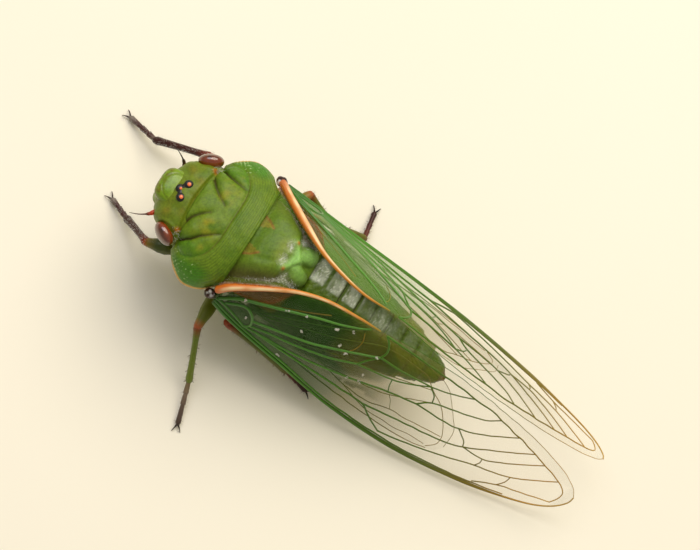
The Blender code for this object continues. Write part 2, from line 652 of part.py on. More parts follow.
def coxa_shape(radius, room=0.0):
    return [(0, 0.55 * radius + room), (0.12, 0.9 * radius + room), (0.35, radius + room),
            (0.7, 0.92 * radius + room), (1, 0.7 * radius + room)]


def leg(pair, side):
    """Coxa, femur, tibia and clawed tarsus; returns the coxa's data for the body's socket."""
    hip, root, knee, ankle, toe = (Vector(p) for p in LEGS[pair, side])
    coxa, femur, tibia, tarsus = LEG_RADII[pair]
    tag = pair + "_" + SIDE_NAMES[side]
    at_root, at_knee, at_ankle = mitre(hip, root, knee), mitre(root, knee, ankle), mitre(knee, ankle, toe)
    limb("coxa_" + tag, hip, root, coxa_shape(coxa), "underside", cut_end=at_root)
    limb("femur_" + tag, root, knee,
         [(0, 0.62 * femur), (0.25, 0.95 * femur), (0.45, femur), (0.75, 0.85 * femur), (1, 0.6 * femur)],
         "green_shell", cut_start=at_root, cut_end=at_knee)
    limb("tibia_" + tag, knee, ankle,
         [(0, 1.15 * tibia), (0.2, 1.05 * tibia), (0.5, 0.95 * tibia), (0.85, 1.05 * tibia), (1, 1.1 * tibia)],
         "leg_brown" if pair == "fore" else "green_shell", cut_start=at_knee, cut_end=at_ankle)
    foot = limb("tarsus_" + tag, ankle, toe,
                [(0, 1.1 * tarsus), (0.35, 0.9 * tarsus), (0.6, tarsus), (0.85, 0.95 * tarsus), (1, 0.7 * tarsus)],
                "leg_brown", floor=0, cut_start=at_ankle)
    heading = (toe - ankle)
    base = math.atan2(heading.y, heading.x)
    claws = []
    for turn in (-CLAW_SPREAD, CLAW_SPREAD):
        run = Vector((math.cos(base + turn), math.sin(base + turn), 0))
        middle = Vector((toe.x, toe.y, CLAW_HEIGHT)) - heading.normalized() * 0.5
        middle.z = CLAW_HEIGHT
        path = [middle, middle + run * 0.6 * CLAW_LENGTH, middle + run * CLAW_LENGTH - Vector((0, 0, 0.05))]
        claws.append(tube("claw", path, [0.3, 0.28, 0.24], "leg_brown", 5, floor=0))
    combine(foot, claws, "UNION")
    return hip, root, coxa


def carve_sockets(items, hips):
    """The body stays a gap clear of each coxa."""
    for item in items:
        cutters = []
        for hip, root, coxa in hips:
            room = 1.3 * GAP
            back = (root - hip).normalized() * room
            cutters.append(limb("cut_coxa", hip - back, root + back, coxa_shape(coxa, room), "underside"))
        combine(item, cutters, "DIFFERENCE")


def belly_height(x, y):
    """Height of the underside of thorax and abdomen at this place."""
    lowest = 1e9
    for stations, belly, power in ((THORAX, THORAX_BELLY, 2.05), (ABDOMEN, ABDOMEN_BELLY, 2.15)):
        station = min(smooth_stations(stations, 0.3), key=lambda s: abs(s[0] - y))
        ring = body_ring(station, 72, belly, power)
        under = [p.z for p in ring if abs(p.x - x) < 0.5 and p.z < station[2]]
        lowest = min([lowest] + under)
    return lowest


def operculum(side):
    """A rounded plate that covers the drum opening from below and follows the belly."""
    rings = []
    for drop, share in ((GAP, 0.9), (GAP + OPERCULUM_THICK / 2, 1), (GAP + OPERCULUM_THICK, 0.85)):
        ring = []
        for i in range(16):
            angle = 2 * math.pi * i / 16
            x = OPERCULUM_CENTRE[0] + OPERCULUM_RADII[0] * share * math.cos(angle)
            y = OPERCULUM_CENTRE[1] + OPERCULUM_RADII[1] * share * math.sin(angle)
            ring.append(Vector((x * side, y, belly_height(x, y) - SEGMENT_STEP - drop)))
        rings.append(ring)
    return solid("operculum_" + SIDE_NAMES[side], *skin_rings(rings), "underside")


def centre_on_origin():
    """All pieces move together until the model's box is centred on the origin."""
    low, high = Vector((1e9, 1e9, 1e9)), Vector((-1e9, -1e9, -1e9))
    for item in bpy.data.objects:
        for vertex in item.data.vertices:
            low = Vector(map(min, low, vertex.co))
            high = Vector(map(max, high, vertex.co))
    shift = Vector((-(low.x + high.x) / 2, -(low.y + high.y) / 2, 0))
    for item in bpy.data.objects:
        for vertex in item.data.vertices:
            vertex.co += shift


def build():
    clear_scene()
    head()
    shield = pronotum()
    chest = thorax()
    abdomen()
    hips = {pair: [leg(pair, side) for side in (LEFT, RIGHT)] for pair in ("fore", "mid", "hind")}
    carve_sockets([shield], hips["fore"])
    carve_sockets([chest], hips["mid"] + hips["hind"])
    outline = FORE_COSTA + FORE_TIP + FORE_HIND
    for side in (LEFT, RIGHT):
        operculum(side)
        wing("forewing_" + SIDE_NAMES[side], outline, FORE_VEINS, side, 0, "wing_clear")
        wing("hindwing_" + SIDE_NAMES[side], HIND_EDGE, HIND_VEINS, side, HIND_INSET, "wing_clear")
    centre_on_origin()


build()
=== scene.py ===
"""Greengrocer cicada at rest, life size: its shell, wings, veins, hairs and finishes.

Shapes are worked out in millimetres in the solid model's own plan (head towards -Y, left side +X,
floor z = 0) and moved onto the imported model, in metres, when each mesh is made.
"""
import math

import bmesh
import bpy
import numpy as np
from mathutils import Matrix, Vector
from mathutils.geometry import delaunay_2d_cdt


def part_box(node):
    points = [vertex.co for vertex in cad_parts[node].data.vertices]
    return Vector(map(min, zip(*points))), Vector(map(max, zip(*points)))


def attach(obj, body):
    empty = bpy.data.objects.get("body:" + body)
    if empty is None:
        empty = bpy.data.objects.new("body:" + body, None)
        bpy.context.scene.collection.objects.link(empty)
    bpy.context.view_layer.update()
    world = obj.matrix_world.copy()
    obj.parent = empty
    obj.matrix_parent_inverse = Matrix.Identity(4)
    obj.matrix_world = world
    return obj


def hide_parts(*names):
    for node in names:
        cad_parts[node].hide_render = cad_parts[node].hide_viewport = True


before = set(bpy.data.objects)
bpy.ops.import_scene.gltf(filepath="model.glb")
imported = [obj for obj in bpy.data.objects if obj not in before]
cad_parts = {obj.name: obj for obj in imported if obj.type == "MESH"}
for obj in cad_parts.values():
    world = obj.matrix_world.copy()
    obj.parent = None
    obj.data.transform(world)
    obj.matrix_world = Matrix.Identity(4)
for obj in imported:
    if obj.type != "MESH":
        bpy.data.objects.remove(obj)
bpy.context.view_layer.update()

MM = 0.001
LEFT, RIGHT = 1, -1
SIDE_NAMES = {LEFT: "left", RIGHT: "right"}
EYES_MIDDLE = (0.0, -8.64)     # between the two eyes, in the plan

# Wings: hinge, slope of the roof they form, and its curl.
WING_HINGE = np.array([8.26, 0.0, 14.6])
WING_TOE_IN = math.radians(5.75)
WING_DROP = {LEFT: math.radians(9.2), RIGHT: math.radians(7.05)}
WING_SLOPE = math.radians(67.2)
WING_CURL_BACK = math.radians(2.55)
WING_CURL_COSTA = math.radians(0.25)
WING_TWIST = math.radians(-0.2)
MEMBRANE = 0.05                # thickness of the film
WING_LENGTH = 54
HIND_INSET = 1.0               # how far the hindwing lies under the forewing
BODY_UNDER_WING = 1.3          # room for both wings of a side
BODY_UNDER_FOREWING = 0.45     # where only the forewing lies over the back

# Plans of the wings: (along the wing, across it), across is plus towards the front edge.
FORE_COSTA = [(1.1, 1.2), (3.4, 2.5), (6.2, 3.6), (9.6, 4.7), (13, 5.7), (16.7, 6.9), (20.3, 7.9), (24, 8.5),
              (28, 8.9), (32, 9.0), (36, 8.7), (40, 8.1), (44, 7.3), (48, 6.1), (51, 4.8), (53, 3.2),
              (54, 1.4)]
FORE_TIP = [(54, 0.1), (53.2, -1.1)]
FORE_HIND = [(52, -2.1), (50.2, -3.1), (46.2, -4.7), (41.5, -6.0), (36.2, -7.1), (31.2, -7.9), (26.5, -8.3),
             (22.2, -8.4), (18.6, -8.4), (14.1, -8.6), (11, -8.4), (8.2, -7.8), (6.1, -6.7), (4.1, -5.3),
             (2.1, -3.9), (1.1, -2.6), (0.7, -1.2), (0.7, 0.2)]
HIND_EDGE = [(1.9, 0.4), (6, 2.2), (12, 4.2), (18, 5.9), (24, 7.0), (29, 7.6), (33, 7.6), (35.8, 6.8),
             (37.0, 5.0), (36.4, 1.8), (35.0, -0.6), (33.2, -3.0), (31.7, -4.8), (30.2, -5.7), (27, -6.6),
             (22, -7.4), (16, -7.9), (11, -7.9), (7.5, -6.6), (4.6, -4.6), (2.4, -1.8)]

# Veins: name: (radius at the base, radius at the end, points on the plan). The costa's radii follow its
# length: (places along the wing, radii).
COSTA_RADII = ((0, 6, 20, 30, 42, 47, 54), (0.3, 0.22, 0.2, 0.27, 0.25, 0.13, 0.09))
FORE_VEINS = {
    "costa": (COSTA_RADII, 0, FORE_COSTA + [(54, 0.1)]),
    "subcosta": (0.18, 0.12, [(0.9, 0.6), (3.4, 1.9), (6.2, 3.0), (9.6, 4.1), (13, 5.1), (16.7, 6.3),
                              (20.3, 7.3), (24, 7.9), (28, 8.3), (32, 8.4), (36, 8.1), (40, 7.6), (44, 6.8),
                              (47, 6.0)]),
    "cubitus_hind": (0.26, 0.14, [(1.2, -0.2), (3.1, -2.0), (5.4, -3.0), (7.7, -3.9), (10.1, -4.8),
                                  (12.4, -5.6), (14.9, -6.3), (17.2, -7.2), (18.4, -7.9)]),
    "cell_front": (0.2, 0.18, [(0.9, 0.1), (2.2, 0.4), (4.7, 1.7), (6.0, 2.5)]),
    "cell_hind": (0.2, 0.18, [(2.2, 0.0), (4.3, -1.2), (5.6, -0.5), (6.3, 0.6), (6.6, 1.8), (6.0, 2.5)]),
    "cubitus": (0.2, 0.16, [(6.3, 0.7), (8.6, 0.1), (11.2, -0.5), (13.7, -1.2), (16, -2.2), (18.2, -3.2),
                            (21.7, -4.8)]),
    "cubitus_bow": (0.16, 0.14, [(21.7, -4.8), (21.9, -6.0), (21.3, -7.3), (20.5, -8.1)]),
    "cubitus_end": (0.16, 0.14, [(21.7, -4.8), (23.9, -4.6), (26.2, -4.5), (29.2, -4.6)]),
    "media_hind": (0.18, 0.15, [(6.6, 1.8), (9.2, 1.2), (11.9, 0.8), (14.5, 0.2), (16.9, -0.5), (20, -2.0)]),
    "media_bridge": (0.13, 0.13, [(20, -2.0), (20.7, -3.5), (21.7, -4.8)]),
    "media_branch": (0.13, 0.12, [(20, -2.0), (21.8, -2.2), (24.8, -2.6), (27, -3.4), (29.2, -4.6)]),
    "media_cross": (0.1, 0.1, [(24.8, -2.6), (25.1, -1.4), (25.6, -0.3)]),
    "media_front": (0.17, 0.14, [(6.0, 2.5), (9.1, 2.4), (12.1, 2.5), (16.2, 2.0), (20.8, 1.0), (25.6, -0.3),
                                 (29.4, -0.9)]),
    "radius": (0.17, 0.14, [(8.0, 2.5), (11.5, 3.0), (15, 3.4), (18, 3.6), (21, 3.9), (24.4, 4.3),
                            (26.4, 5.9), (28.8, 7.6)]),
    "ambient": (0.16, 0.12, [(20.5, -8.1), (25.5, -7.5), (28.8, -7.1), (31.9, -6.7), (34.8, -6.2),
                             (37.8, -5.8), (39.3, -5.3), (42.7, -4.3), (45.8, -3.2), (47.9, -2.4),
                             (50.9, -1.1), (52.4, 0.2), (52.6, 1.6), (52.2, 2.9)]),
    "apical_1": (0.12, 0.11, [(29.2, -4.6), (32.3, -5.3), (34.8, -6.2)]),
    "cross_1": (0.13, 0.12, [(29.2, -4.6), (30.4, -3.5), (30.8, -2.4)]),
    "apical_2": (0.14, 0.11, [(29.4, -0.9), (30.8, -2.4), (34.4, -3.2), (37.6, -4.1), (39.3, -5.3)]),
    "apical_3": (0.14, 0.11, [(29.4, -0.9), (33.2, -0.6), (35.9, -0.7), (39.0, -2.0), (42.7, -4.3)]),
    "cross_2": (0.12, 0.12, [(35.9, -0.7), (37.6, 0.8), (38.2, 1.9)]),
    "apical_4": (0.15, 0.11, [(24.4, 4.3), (29.8, 3.6), (35.4, 2.9), (38.2, 1.9), (41, 0.0), (45.8, -3.2)]),
    "apical_5": (0.12, 0.11, [(38.2, 1.9), (41.3, 2.1), (43.8, 0.7), (47.9, -2.4)]),
    "cross_3": (0.11, 0.11, [(41.3, 2.1), (41.5, 3.0), (41.2, 3.9)]),
    "apical_6": (0.14, 0.11, [(28.8, 7.6), (31.9, 7.0), (37, 5.5), (41.2, 3.9), (45.9, 2.5), (50.9, -1.1)]),
    "cross_4": (0.11, 0.11, [(45.9, 2.5), (45.9, 3.8), (45.4, 5.0)]),
    "apical_7": (0.12, 0.11, [(42.7, 6.8), (45.4, 5.0), (48.4, 4.0), (52.2, 2.9)]),
}
MARGIN_VEIN = (0.07, 0.06, FORE_TIP + FORE_HIND[:8])
VEIN_SLIMMING = ((0, 15, 30, 54), (1.0, 0.92, 0.74, 0.62))   # share of a vein's radius, along the wing
HIND_VEIN_SLIMMING = 0.85
CLAVUS_VEIN = {LEFT: [(0.3, -1.7), (1.2, -3.1), (3.0, -4.6), (5.2, -6.1), (8.2, -7.65), (11.8, -8.5),
                      (16.3, -8.5), (19.4, -8.3)],
               RIGHT: [(0.1, -0.7), (1.3, -3.3), (3.0, -5.3), (5.1, -7.1), (8.2, -8.9), (11.6, -9.6),
                       (15.3, -9.6), (19.0, -8.6)]}
CLAVUS_RADII = {LEFT: [0.5, 0.5, 0.42, 0.33, 0.26, 0.22, 0.17, 0.1],
                RIGHT: [0.5, 0.5, 0.5, 0.46, 0.3, 0.23, 0.17, 0.1]}
HIND_VEINS = {
    "edge_front": (0.16, 0.08, [(2, 0.5), (6, 2.2), (12, 4.2), (18, 5.8), (24, 6.9), (29, 7.5), (33, 7.5),
                                (35.4, 6.9)]),
    "ambient": (0.09, 0.08, [(24, -5.9), (28.1, -5.1), (29.8, -3.7), (31.3, -2.6), (32.8, -1.3), (34.0, 0.4),
                             (35.1, 2.1), (35.8, 3.6), (36.0, 5.2), (35.2, 6.6)]),
    "stem": (0.13, 0.1, [(2.4, -0.3), (8, 0.4), (13, 1.4), (17.5, 2.6)]),
    "fork_front": (0.1, 0.08, [(17.5, 2.6), (21, 4.0), (25, 4.7), (28.1, 3.8), (30, 3.9), (32.3, 3.7),
                               (35.6, 3.5)]),
    "fork_mid": (0.1, 0.08, [(17.5, 2.6), (21, 2.3), (24.6, 1.9), (27.3, 0.9), (30.8, -1.1), (32.4, -1.7)]),
    "fork_tip": (0.09, 0.07, [(21, 4.0), (25.5, 6.2), (28, 6.4), (30.4, 6.6), (32.6, 6.3), (34.8, 6.4)]),
    "fork_hind": (0.1, 0.08, [(13, 1.4), (18, -0.6), (24, -1.8), (27, -2.6), (30.2, -3.4)]),
    "cross_a": (0.07, 0.07, [(26.5, 1.3), (27.3, 2.4), (28.0, 3.7)]),
    "lobe_front": (0.13, 0.1, [(4.5, 0.6), (6.9, -0.5), (10.2, -2.3), (13.3, -3.8), (16.0, -5.2),
                               (18.0, -6.4)]),
    "lobe_hind": (0.12, 0.09, [(5.0, 0.4), (8.7, -0.5), (12.0, -1.8), (15.6, -3.1), (18.6, -4.6),
                               (21.2, -5.8), (24, -5.9)]),
    "edge_tip": (0.07, 0.05, [(37.0, 5.0), (36.4, 1.8), (35.0, -0.6), (33.2, -3.0), (31.7, -4.8),
                              (30.2, -5.7), (27, -6.6), (22, -7.0)]),
}
FOLD_LINES = [(0.14, 0.1, [(3.4, -0.9), (6.5, -2.5), (9.4, -4.0), (11.8, -5.2), (13.6, -6.2)]),
              (0.08, 0.07, [(18.0, -1.6), (18.8, -3.2), (18.9, -4.9), (18.4, -6.2)])]
# On the wings' plan: the red fold patch, the hindwing's folded lobe, two root cells, and crumbs of lint
RED_PATCH = {LEFT: [(1.8, -2.4), (3.3, -2.6), (4.9, -2.7), (6.6, -4.0), (7.4, -5.7), (8.3, -7.7),
                    (6.5, -7.0), (4.2, -5.6), (2.1, -4.0)],
             RIGHT: [(2.4, -4.2), (3.6, -4.2), (5.7, -4.1), (6.8, -5.0), (7.7, -6.4), (8.3, -8.5),
                     (6.1, -7.7), (3.9, -6.1)]}
FOLDED_LOBE = [(2.4, -1.8), (5, 0.2), (9, 2.2), (14, 3.4), (20, 3.0), (25, 0.6), (26.5, -4.6), (22, -7.0),
               (16, -7.9), (11, -7.9), (7.5, -6.6), (4.6, -4.6)]
# Green stain of the film, partly painted shade under the wings: where it fades along the wing and, on the
# forewing, the line behind which it thins
ROOT_STAIN_AND_SHADE = {LEFT: ((5, 27), -1.5), RIGHT: ((10, 31), -4.0)}
LOBE_STAIN_AND_SHADE = {LEFT: (18, 28), RIGHT: (13, 25)}
HINGE_BALL = (8.25, -0.05, 14.8)
COSTAL_FOLD = [(0.9, 0.6), (3.4, 2.4), (6.2, 3.5), (9.6, 4.6), (14.5, 6.0), (9.6, 3.9), (6.2, 2.7),
               (3.4, 1.5)]
GREEN_CELL = [(1.3, 0.0), (2.2, 0.0), (4.3, -1.2), (5.6, -0.5), (6.3, 0.6), (6.6, 1.8), (6.0, 2.5),
              (4.7, 1.7), (2.2, 0.5)]
LINT = [(3.9, -2.5), (5.3, 0.4), (8.5, -4.3), (10.9, -5.0), (11.8, -2.4), (11.9, 4.1), (16.9, -6.4),
        (21.3, -4.7), (21.6, -0.8), (21.8, 0.5), (17.9, -2.8), (15.0, -5.7), (16.6, -3.5), (20.2, 1.1)]

# Body stations: (y, half width, height of the widest line, top, bottom)
PRONOTUM = [(-7.0, 6.2, 13.9, 17.7, 8.6), (-6.2, 7.2, 13.7, 18.0, 8.0), (-5.2, 8.1, 13.5, 18.3, 7.7),
            (-3.9, 8.8, 13.4, 18.6, 7.5), (-2.6, 8.8, 13.5, 18.9, 7.4), (-1.2, 8.3, 13.9, 19.2, 7.4),
            (-0.2, 7.4, 14.3, 19.3, 7.5), (0.35, 7.0, 14.6, 19.2, 7.8)]
THORAX = [(-0.8, 6.7, 13.8, 18.5, 7.8), (0.75, 7.5, 13.9, 18.9, 7.6), (1.8, 7.7, 13.8, 19.5, 7.0),
          (3.2, 7.3, 13.5, 19.9, 6.7), (4.8, 6.7, 13.0, 20.0, 6.7), (6.4, 6.2, 12.6, 19.6, 6.8),
          (7.8, 5.9, 12.3, 18.9, 7.0), (9.0, 5.6, 12.2, 18.1, 7.4), (9.6, 5.3, 12.0, 17.2, 7.6)]
ABDOMEN = [(8.8, 5.3, 12.0, 17.2, 7.5), (9.4, 5.6, 12.0, 17.6, 7.2), (11, 6.2, 11.8, 17.5, 6.4),
           (13.5, 6.3, 11.6, 17.0, 6.1), (16, 6.0, 11.3, 16.3, 6.1), (18.5, 5.5, 11.0, 15.5, 6.3),
           (21, 4.8, 10.7, 14.6, 6.6), (23.5, 3.9, 10.4, 13.6, 7.0), (26, 2.9, 10.1, 12.5, 7.5),
           (28.2, 1.9, 9.9, 11.5, 8.1), (29.8, 1.0, 9.7, 10.6, 8.8), (30.5, 0.35, 9.6, 9.95, 9.3)]
THORAX_ARCH = 2.05             # 2 is round, more is squarer
ABDOMEN_ARCH = 2.15
ABDOMEN_BELLY = 0.92           # width of the belly as a share of the widest line
HEAD = [(-11.8, 2.0, 13.3, 15.4, 11.2), (-11.4, 2.9, 13.4, 16.3, 10.6), (-10.7, 3.9, 13.6, 16.8, 10.2),
        (-9.9, 4.5, 13.8, 17.3, 9.9), (-9.0, 4.9, 13.9, 17.7, 9.6), (-8.1, 5.3, 14.0, 17.8, 9.3),
        (-7.35, 5.7, 14.0, 17.6, 8.9), (-6.4, 5.8, 13.9, 17.2, 8.8)]
NAPE_BOW = 0.85                # how far the shield's front edge reaches over the head in the middle
FACE_CENTRE = (0.0, -10.25, 13.1)
FACE_RADII = (2.45, 2.62, 3.75)
EYE_CENTRE = (5.36, -8.64, 15.5)
EYE_RADII = (0.9, 1.6, 1.3)
EYE_TURN = math.radians(28)
OCELLI = [(0.92, -9.36, 17.62), (-0.92, -9.36, 17.62), (0.0, -9.95, 17.32)]
ANTENNAE = {LEFT: [(3.3, -10.9, 14.3), (3.9, -11.3, 14.3), (4.35, -11.8, 14.3), (4.8, -12.5, 14.2),
                   (5.2, -13.5, 14.0)],
            RIGHT: [(-3.1, -10.7, 13.6), (-3.6, -11.1, 13.6), (-3.9, -11.5, 14.0), (-4.15, -12.2, 14.8),
                    (-4.5, -13.2, 15.3)]}
ROSTRUM = [(0, -10.6, 9.6), (0, -9.8, 8.2), (0, -8.6, 7.2), (0, -6.0, 6.3), (0, -3.0, 5.9), (0, -0.6, 5.9)]

# Legs: hip, end of the coxa, knee, ankle, toe
LEGS = {
    ("fore", LEFT): ((3.0, -4.4, 8.2), (4.4, -6.0, 6.5), (5.5, -9.8, 6.0), (3.5, -13.4, 1.7),
                     (2.2, -16.2, 0.45)),
    ("fore", RIGHT): ((-3.0, -4.4, 8.2), (-4.5, -5.7, 6.4), (-8.0, -8.9, 6.5), (-6.9, -15.8, 2.2),
                      (-8.0, -20.0, 0.45)),
    ("mid", LEFT): ((3.6, 0.8, 8.0), (5.4, 1.0, 6.4), (11.1, 1.2, 7.2), (16.5, 4.2, 1.8), (21.6, 6.0, 0.45)),
    ("mid", RIGHT): ((-3.6, 0.8, 8.0), (-5.4, 1.3, 6.3), (-11.2, 4.2, 5.7), (-9.8, 10.6, 1.6),
                     (-7.2, 14.0, 0.45)),
    ("hind", LEFT): ((3.0, 5.2, 8.0), (3.9, 6.7, 6.1), (8.7, 4.0, 7.2), (8.7, 13.9, 1.7), (9.2, 17.4, 0.45)),
    ("hind", RIGHT): ((-3.0, 5.2, 8.0), (-3.9, 6.7, 6.1), (-8.7, 6.1, 7.3), (-11.3, 13.3, 1.8),
                      (-15.2, 12.8, 0.45)),
}
# A leg's radii in millimetres: coxa, femur, tibia, foot
LEG_RADII = {"fore": (1.1, 0.96, 0.5, 0.38), "mid": (1.1, 0.95, 0.44, 0.34), "hind": (1.1, 0.9, 0.46, 0.34)}
# Swellings of each joint: (place along it, share of its radius)
COXA_FORM = [(0, 0.8), (0.2, 1.0), (0.6, 0.98), (0.85, 0.75), (1, 0.5)]
FEMUR_FORM = [(0, 0.5), (0.12, 0.72), (0.35, 1.0), (0.6, 0.95), (0.85, 0.68), (0.96, 0.62), (1, 0.55)]
TIBIA_FORM = [(0, 1.0), (0.04, 1.2), (0.12, 1.0), (0.3, 0.86), (0.6, 0.9), (0.88, 1.0), (0.96, 1.12),
              (1, 0.95)]
FOOT_FORM = [(0, 0.72), (0.2, 0.86), (0.75, 1.0), (0.95, 1.08), (1, 0.8)]
FEMUR_SPINES = (0.45, 0.68, 0.88)          # places of the fore femur's spines
TIBIA_SPURS = (0.35, 0.5, 0.64, 0.78, 0.97, 0.97)
ROUND_END = (0.0, 0.35, 0.75)  # where the rings of a rounded end lie, from its tip to the full tube
# Radii in millimetres along the antenna and the beak
ANTENNA_FORM = [(0, 0.3), (0.18, 0.3), (0.24, 0.22), (0.34, 0.21), (0.4, 0.12), (0.46, 0.09), (1.0, 0.035)]
BEAK_FORM = [(0, 0.95), (0.12, 0.9), (0.3, 0.6), (0.34, 0.52), (0.62, 0.46), (0.66, 0.4), (1.0, 0.2)]

# Fur, a little thicker than in life, so that it shows
LEG_FUR = {"fore": ("white_hair", 13), "mid": ("pale_hair", 6), "hind": ("dark_hair", 9)}   # per square mm
BACK_LEAN = (0, 0.5, 0.6)      # the way the fur at the wings' roots lies
HAIR_STRAY = 0.35              # how far a hair's own way may differ
HAIR_SIZES = (0.45, 1.15)      # shortest and longest, as shares of the given length
HAIR_POINTS = 7                # two rings of three points and a tip
HAIR_PATCH = 0.003             # side of the patch that each hair has on its map, as a share of the map
HAIR_FLOOR = 0.05              # height below which a hair lies down along the floor
HAIR_SPLAY = 0.05              # share of its drop that it keeps there
BOARD_REACH = 1.5              # half of the studio board's side, in metres


def plan_shift():
    """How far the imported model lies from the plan, in metres, read from the eyes' boxes."""
    middle = Vector((0, 0, 0))
    for side in ("left", "right"):
        low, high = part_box("eye_" + side)
        middle += (Vector(low) + Vector(high)) / 4
    return Vector((middle.x - EYES_MIDDLE[0] * MM, middle.y - EYES_MIDDLE[1] * MM, 0))


SHIFT = plan_shift()


# Nodes, and the finish of the shell

def linear(code):
    """An sRGB hex colour as linear red, green, blue and alpha."""
    out = []
    for k in (1, 3, 5):
        value = int(code[k:k + 2], 16) / 255
        out.append(value / 12.92 if value <= 0.04045 else ((value + 0.055) / 1.055) ** 2.4)
    return (*out, 1.0)


def add(tree, kind, settings=None, **sockets):
    """Adds a node; settings are its properties, sockets are values or (node, output) links."""
    made = tree.nodes.new(kind)
    for key, value in (settings or {}).items():
        setattr(made, key, value)
    for key, value in sockets.items():
        name = key.replace("_", " ") if key not in made.inputs else key
        if key[0] == "i" and key[1:].isdigit():
            target = made.inputs[int(key[1:])]
        else:
            target = made.inputs[name]
        if isinstance(value, tuple) and value and isinstance(value[0], bpy.types.Node):
            tree.links.new(value[0].outputs[value[1]], target)
        else:
            target.default_value = linear(value) if isinstance(value, str) and value[0] == "#" else value
    return made


def new_material(name):
    """A new material with its node tree and its main shader."""
    made = bpy.data.materials.new(name)
    made.use_nodes = True
    tree = made.node_tree
    return made, tree, tree.nodes["Principled BSDF"]


MIX = {"data_type": "RGBA"}


def mark(name):
    """Settings of an attribute node that reads a mark stored on the surface's points."""
    return {"attribute_name": name}


def per_metre(size_mm):
    """A pattern's scale for blotches about this many millimetres across."""
    return 1 / (size_mm * MM)


def set_stops(node, stops):
    """Gives a colour ramp its (place, hex colour) stops."""
    line = node.color_ramp.elements
    while len(line) > 1:
        line.remove(line[-1])
    line[0].position, line[0].color = stops[0][0], linear(stops[0][1])
    for place, code in stops[1:]:
        line.new(place).color = linear(code)


def cuticle(name, base, shade, marks=(), gloss=0.36, grain_mm=0.12, relief=0.45, coat=0.0, blotch_mm=1.6,
            dusty=False):
    """Insect shell: sclerotised cuticle, smooth and waxy, with a pigment that clouds softly.

    marks lists (attribute, hex colour): painted markings stored on the surface's own points. The eye
    sees a satin gloss broken by fine grain, and small darker freckles in the pigment. The grain is drawn
    coarser than in life, so that it shows.
    """
    made, tree, shader = new_material(name)
    coords = (add(tree, "ShaderNodeTexCoord"), "Object")
    cloud = add(tree, "ShaderNodeTexNoise", Vector=coords, Scale=per_metre(blotch_mm), Detail=4.0,
                Roughness=0.6)
    spread = add(tree, "ShaderNodeMapRange", i0=(cloud, 0), i1=0.35, i2=0.68)
    colour = add(tree, "ShaderNodeMix", MIX, i0=(spread, 0), i6=base, i7=shade)
    for attribute, code in marks:
        where = add(tree, "ShaderNodeAttribute", mark(attribute))
        colour = add(tree, "ShaderNodeMix", MIX, i0=(where, "Fac"), i6=(colour, 2), i7=code)
    freckle = add(tree, "ShaderNodeTexNoise", Vector=coords, Scale=per_metre(0.28), Detail=4.0,
                  Roughness=0.65)
    darker = add(tree, "ShaderNodeMapRange", i0=(freckle, 0), i1=0.42, i2=0.66, i3=1.08, i4=0.8)
    colour = add(tree, "ShaderNodeMix", {"data_type": "RGBA", "blend_type": "MULTIPLY"}, i0=1.0,
                 i6=(colour, 2),
                 i7=(darker, 0))
    tree.links.new(colour.outputs[2], shader.inputs["Base Color"])
    fine = add(tree, "ShaderNodeTexNoise", Vector=coords, Scale=per_metre(grain_mm), Detail=3.0,
               Roughness=0.6)
    bump = add(tree, "ShaderNodeBump", Strength=relief, Distance=0.00005, Height=(fine, 0))
    tree.links.new(bump.outputs[0], shader.inputs["Normal"])
    if dusty:
        where = add(tree, "ShaderNodeAttribute", mark("wax"))
        rough = add(tree, "ShaderNodeMapRange", i0=(where, "Fac"), i1=0.0, i2=1.0, i3=gloss, i4=0.9)
        tree.links.new(rough.outputs[0], shader.inputs["Roughness"])
    else:
        shader.inputs["Roughness"].default_value = gloss
    shader.inputs["IOR"].default_value = 1.38
    shader.inputs["Coat Weight"].default_value = coat
    shader.inputs["Coat Roughness"].default_value = 0.18
    shader.inputs["Subsurface Weight"].default_value = 0.1
    shader.inputs["Subsurface Radius"].default_value = (0.6, 1.0, 0.3)
    shader.inputs["Subsurface Scale"].default_value = 0.0004
    return made


# Meshes

def piece(name, points, faces, look, marks=None):
    """One object from plan points in millimetres, with its finish and its painted marks."""
    verts = np.asarray(points, float) * MM + np.array(SHIFT)
    mesh = bpy.data.meshes.new(name)
    mesh.from_pydata(verts.tolist(), [], [tuple(int(i) for i in f) for f in faces])
    for key, values in (marks or {}).items():
        layer = mesh.attributes.new(key, "FLOAT", "POINT")
        layer.data.foreach_set("value", np.asarray(values, np.float32).ravel())
    mesh.materials.append(look)
    mesh.shade_smooth()
    made = bpy.data.objects.new(name, mesh)
    bpy.context.scene.collection.objects.link(made)
    outward(made)
    return made


def outward(made):
    """Turns every face outwards, whichever way round its points were given."""
    work = bmesh.new()
    work.from_mesh(made.data)
    bmesh.ops.recalc_face_normals(work, faces=work.faces)
    if work.calc_volume(signed=True) < 0:
        bmesh.ops.reverse_faces(work, faces=work.faces)
    work.to_mesh(made.data)
    work.free()


def curve_point(a, b, c, d, t):
    """The point at share t between b and c on a smooth curve through a, b, c and d."""
    return 0.5 * (2 * b + (c - a) * t + (2 * a - 5 * b + 4 * c - d) * t * t
                  + (3 * b - a - 3 * c + d) * t ** 3)


def spline(points, step):
    """Points about one step apart on a smooth curve through the given points, as an array."""
    path = np.asarray(points, float)
    ends = np.vstack([2 * path[0] - path[1], path, 2 * path[-1] - path[-2]])
    out = [path[0]]
    for k in range(1, len(ends) - 2):
        a, b, c, d = ends[k - 1:k + 3]
        parts = max(1, round(float(np.linalg.norm(c - b)) / step))
        out += [curve_point(a, b, c, d, t) for t in np.arange(1, parts + 1) / parts]
    return np.array(out)


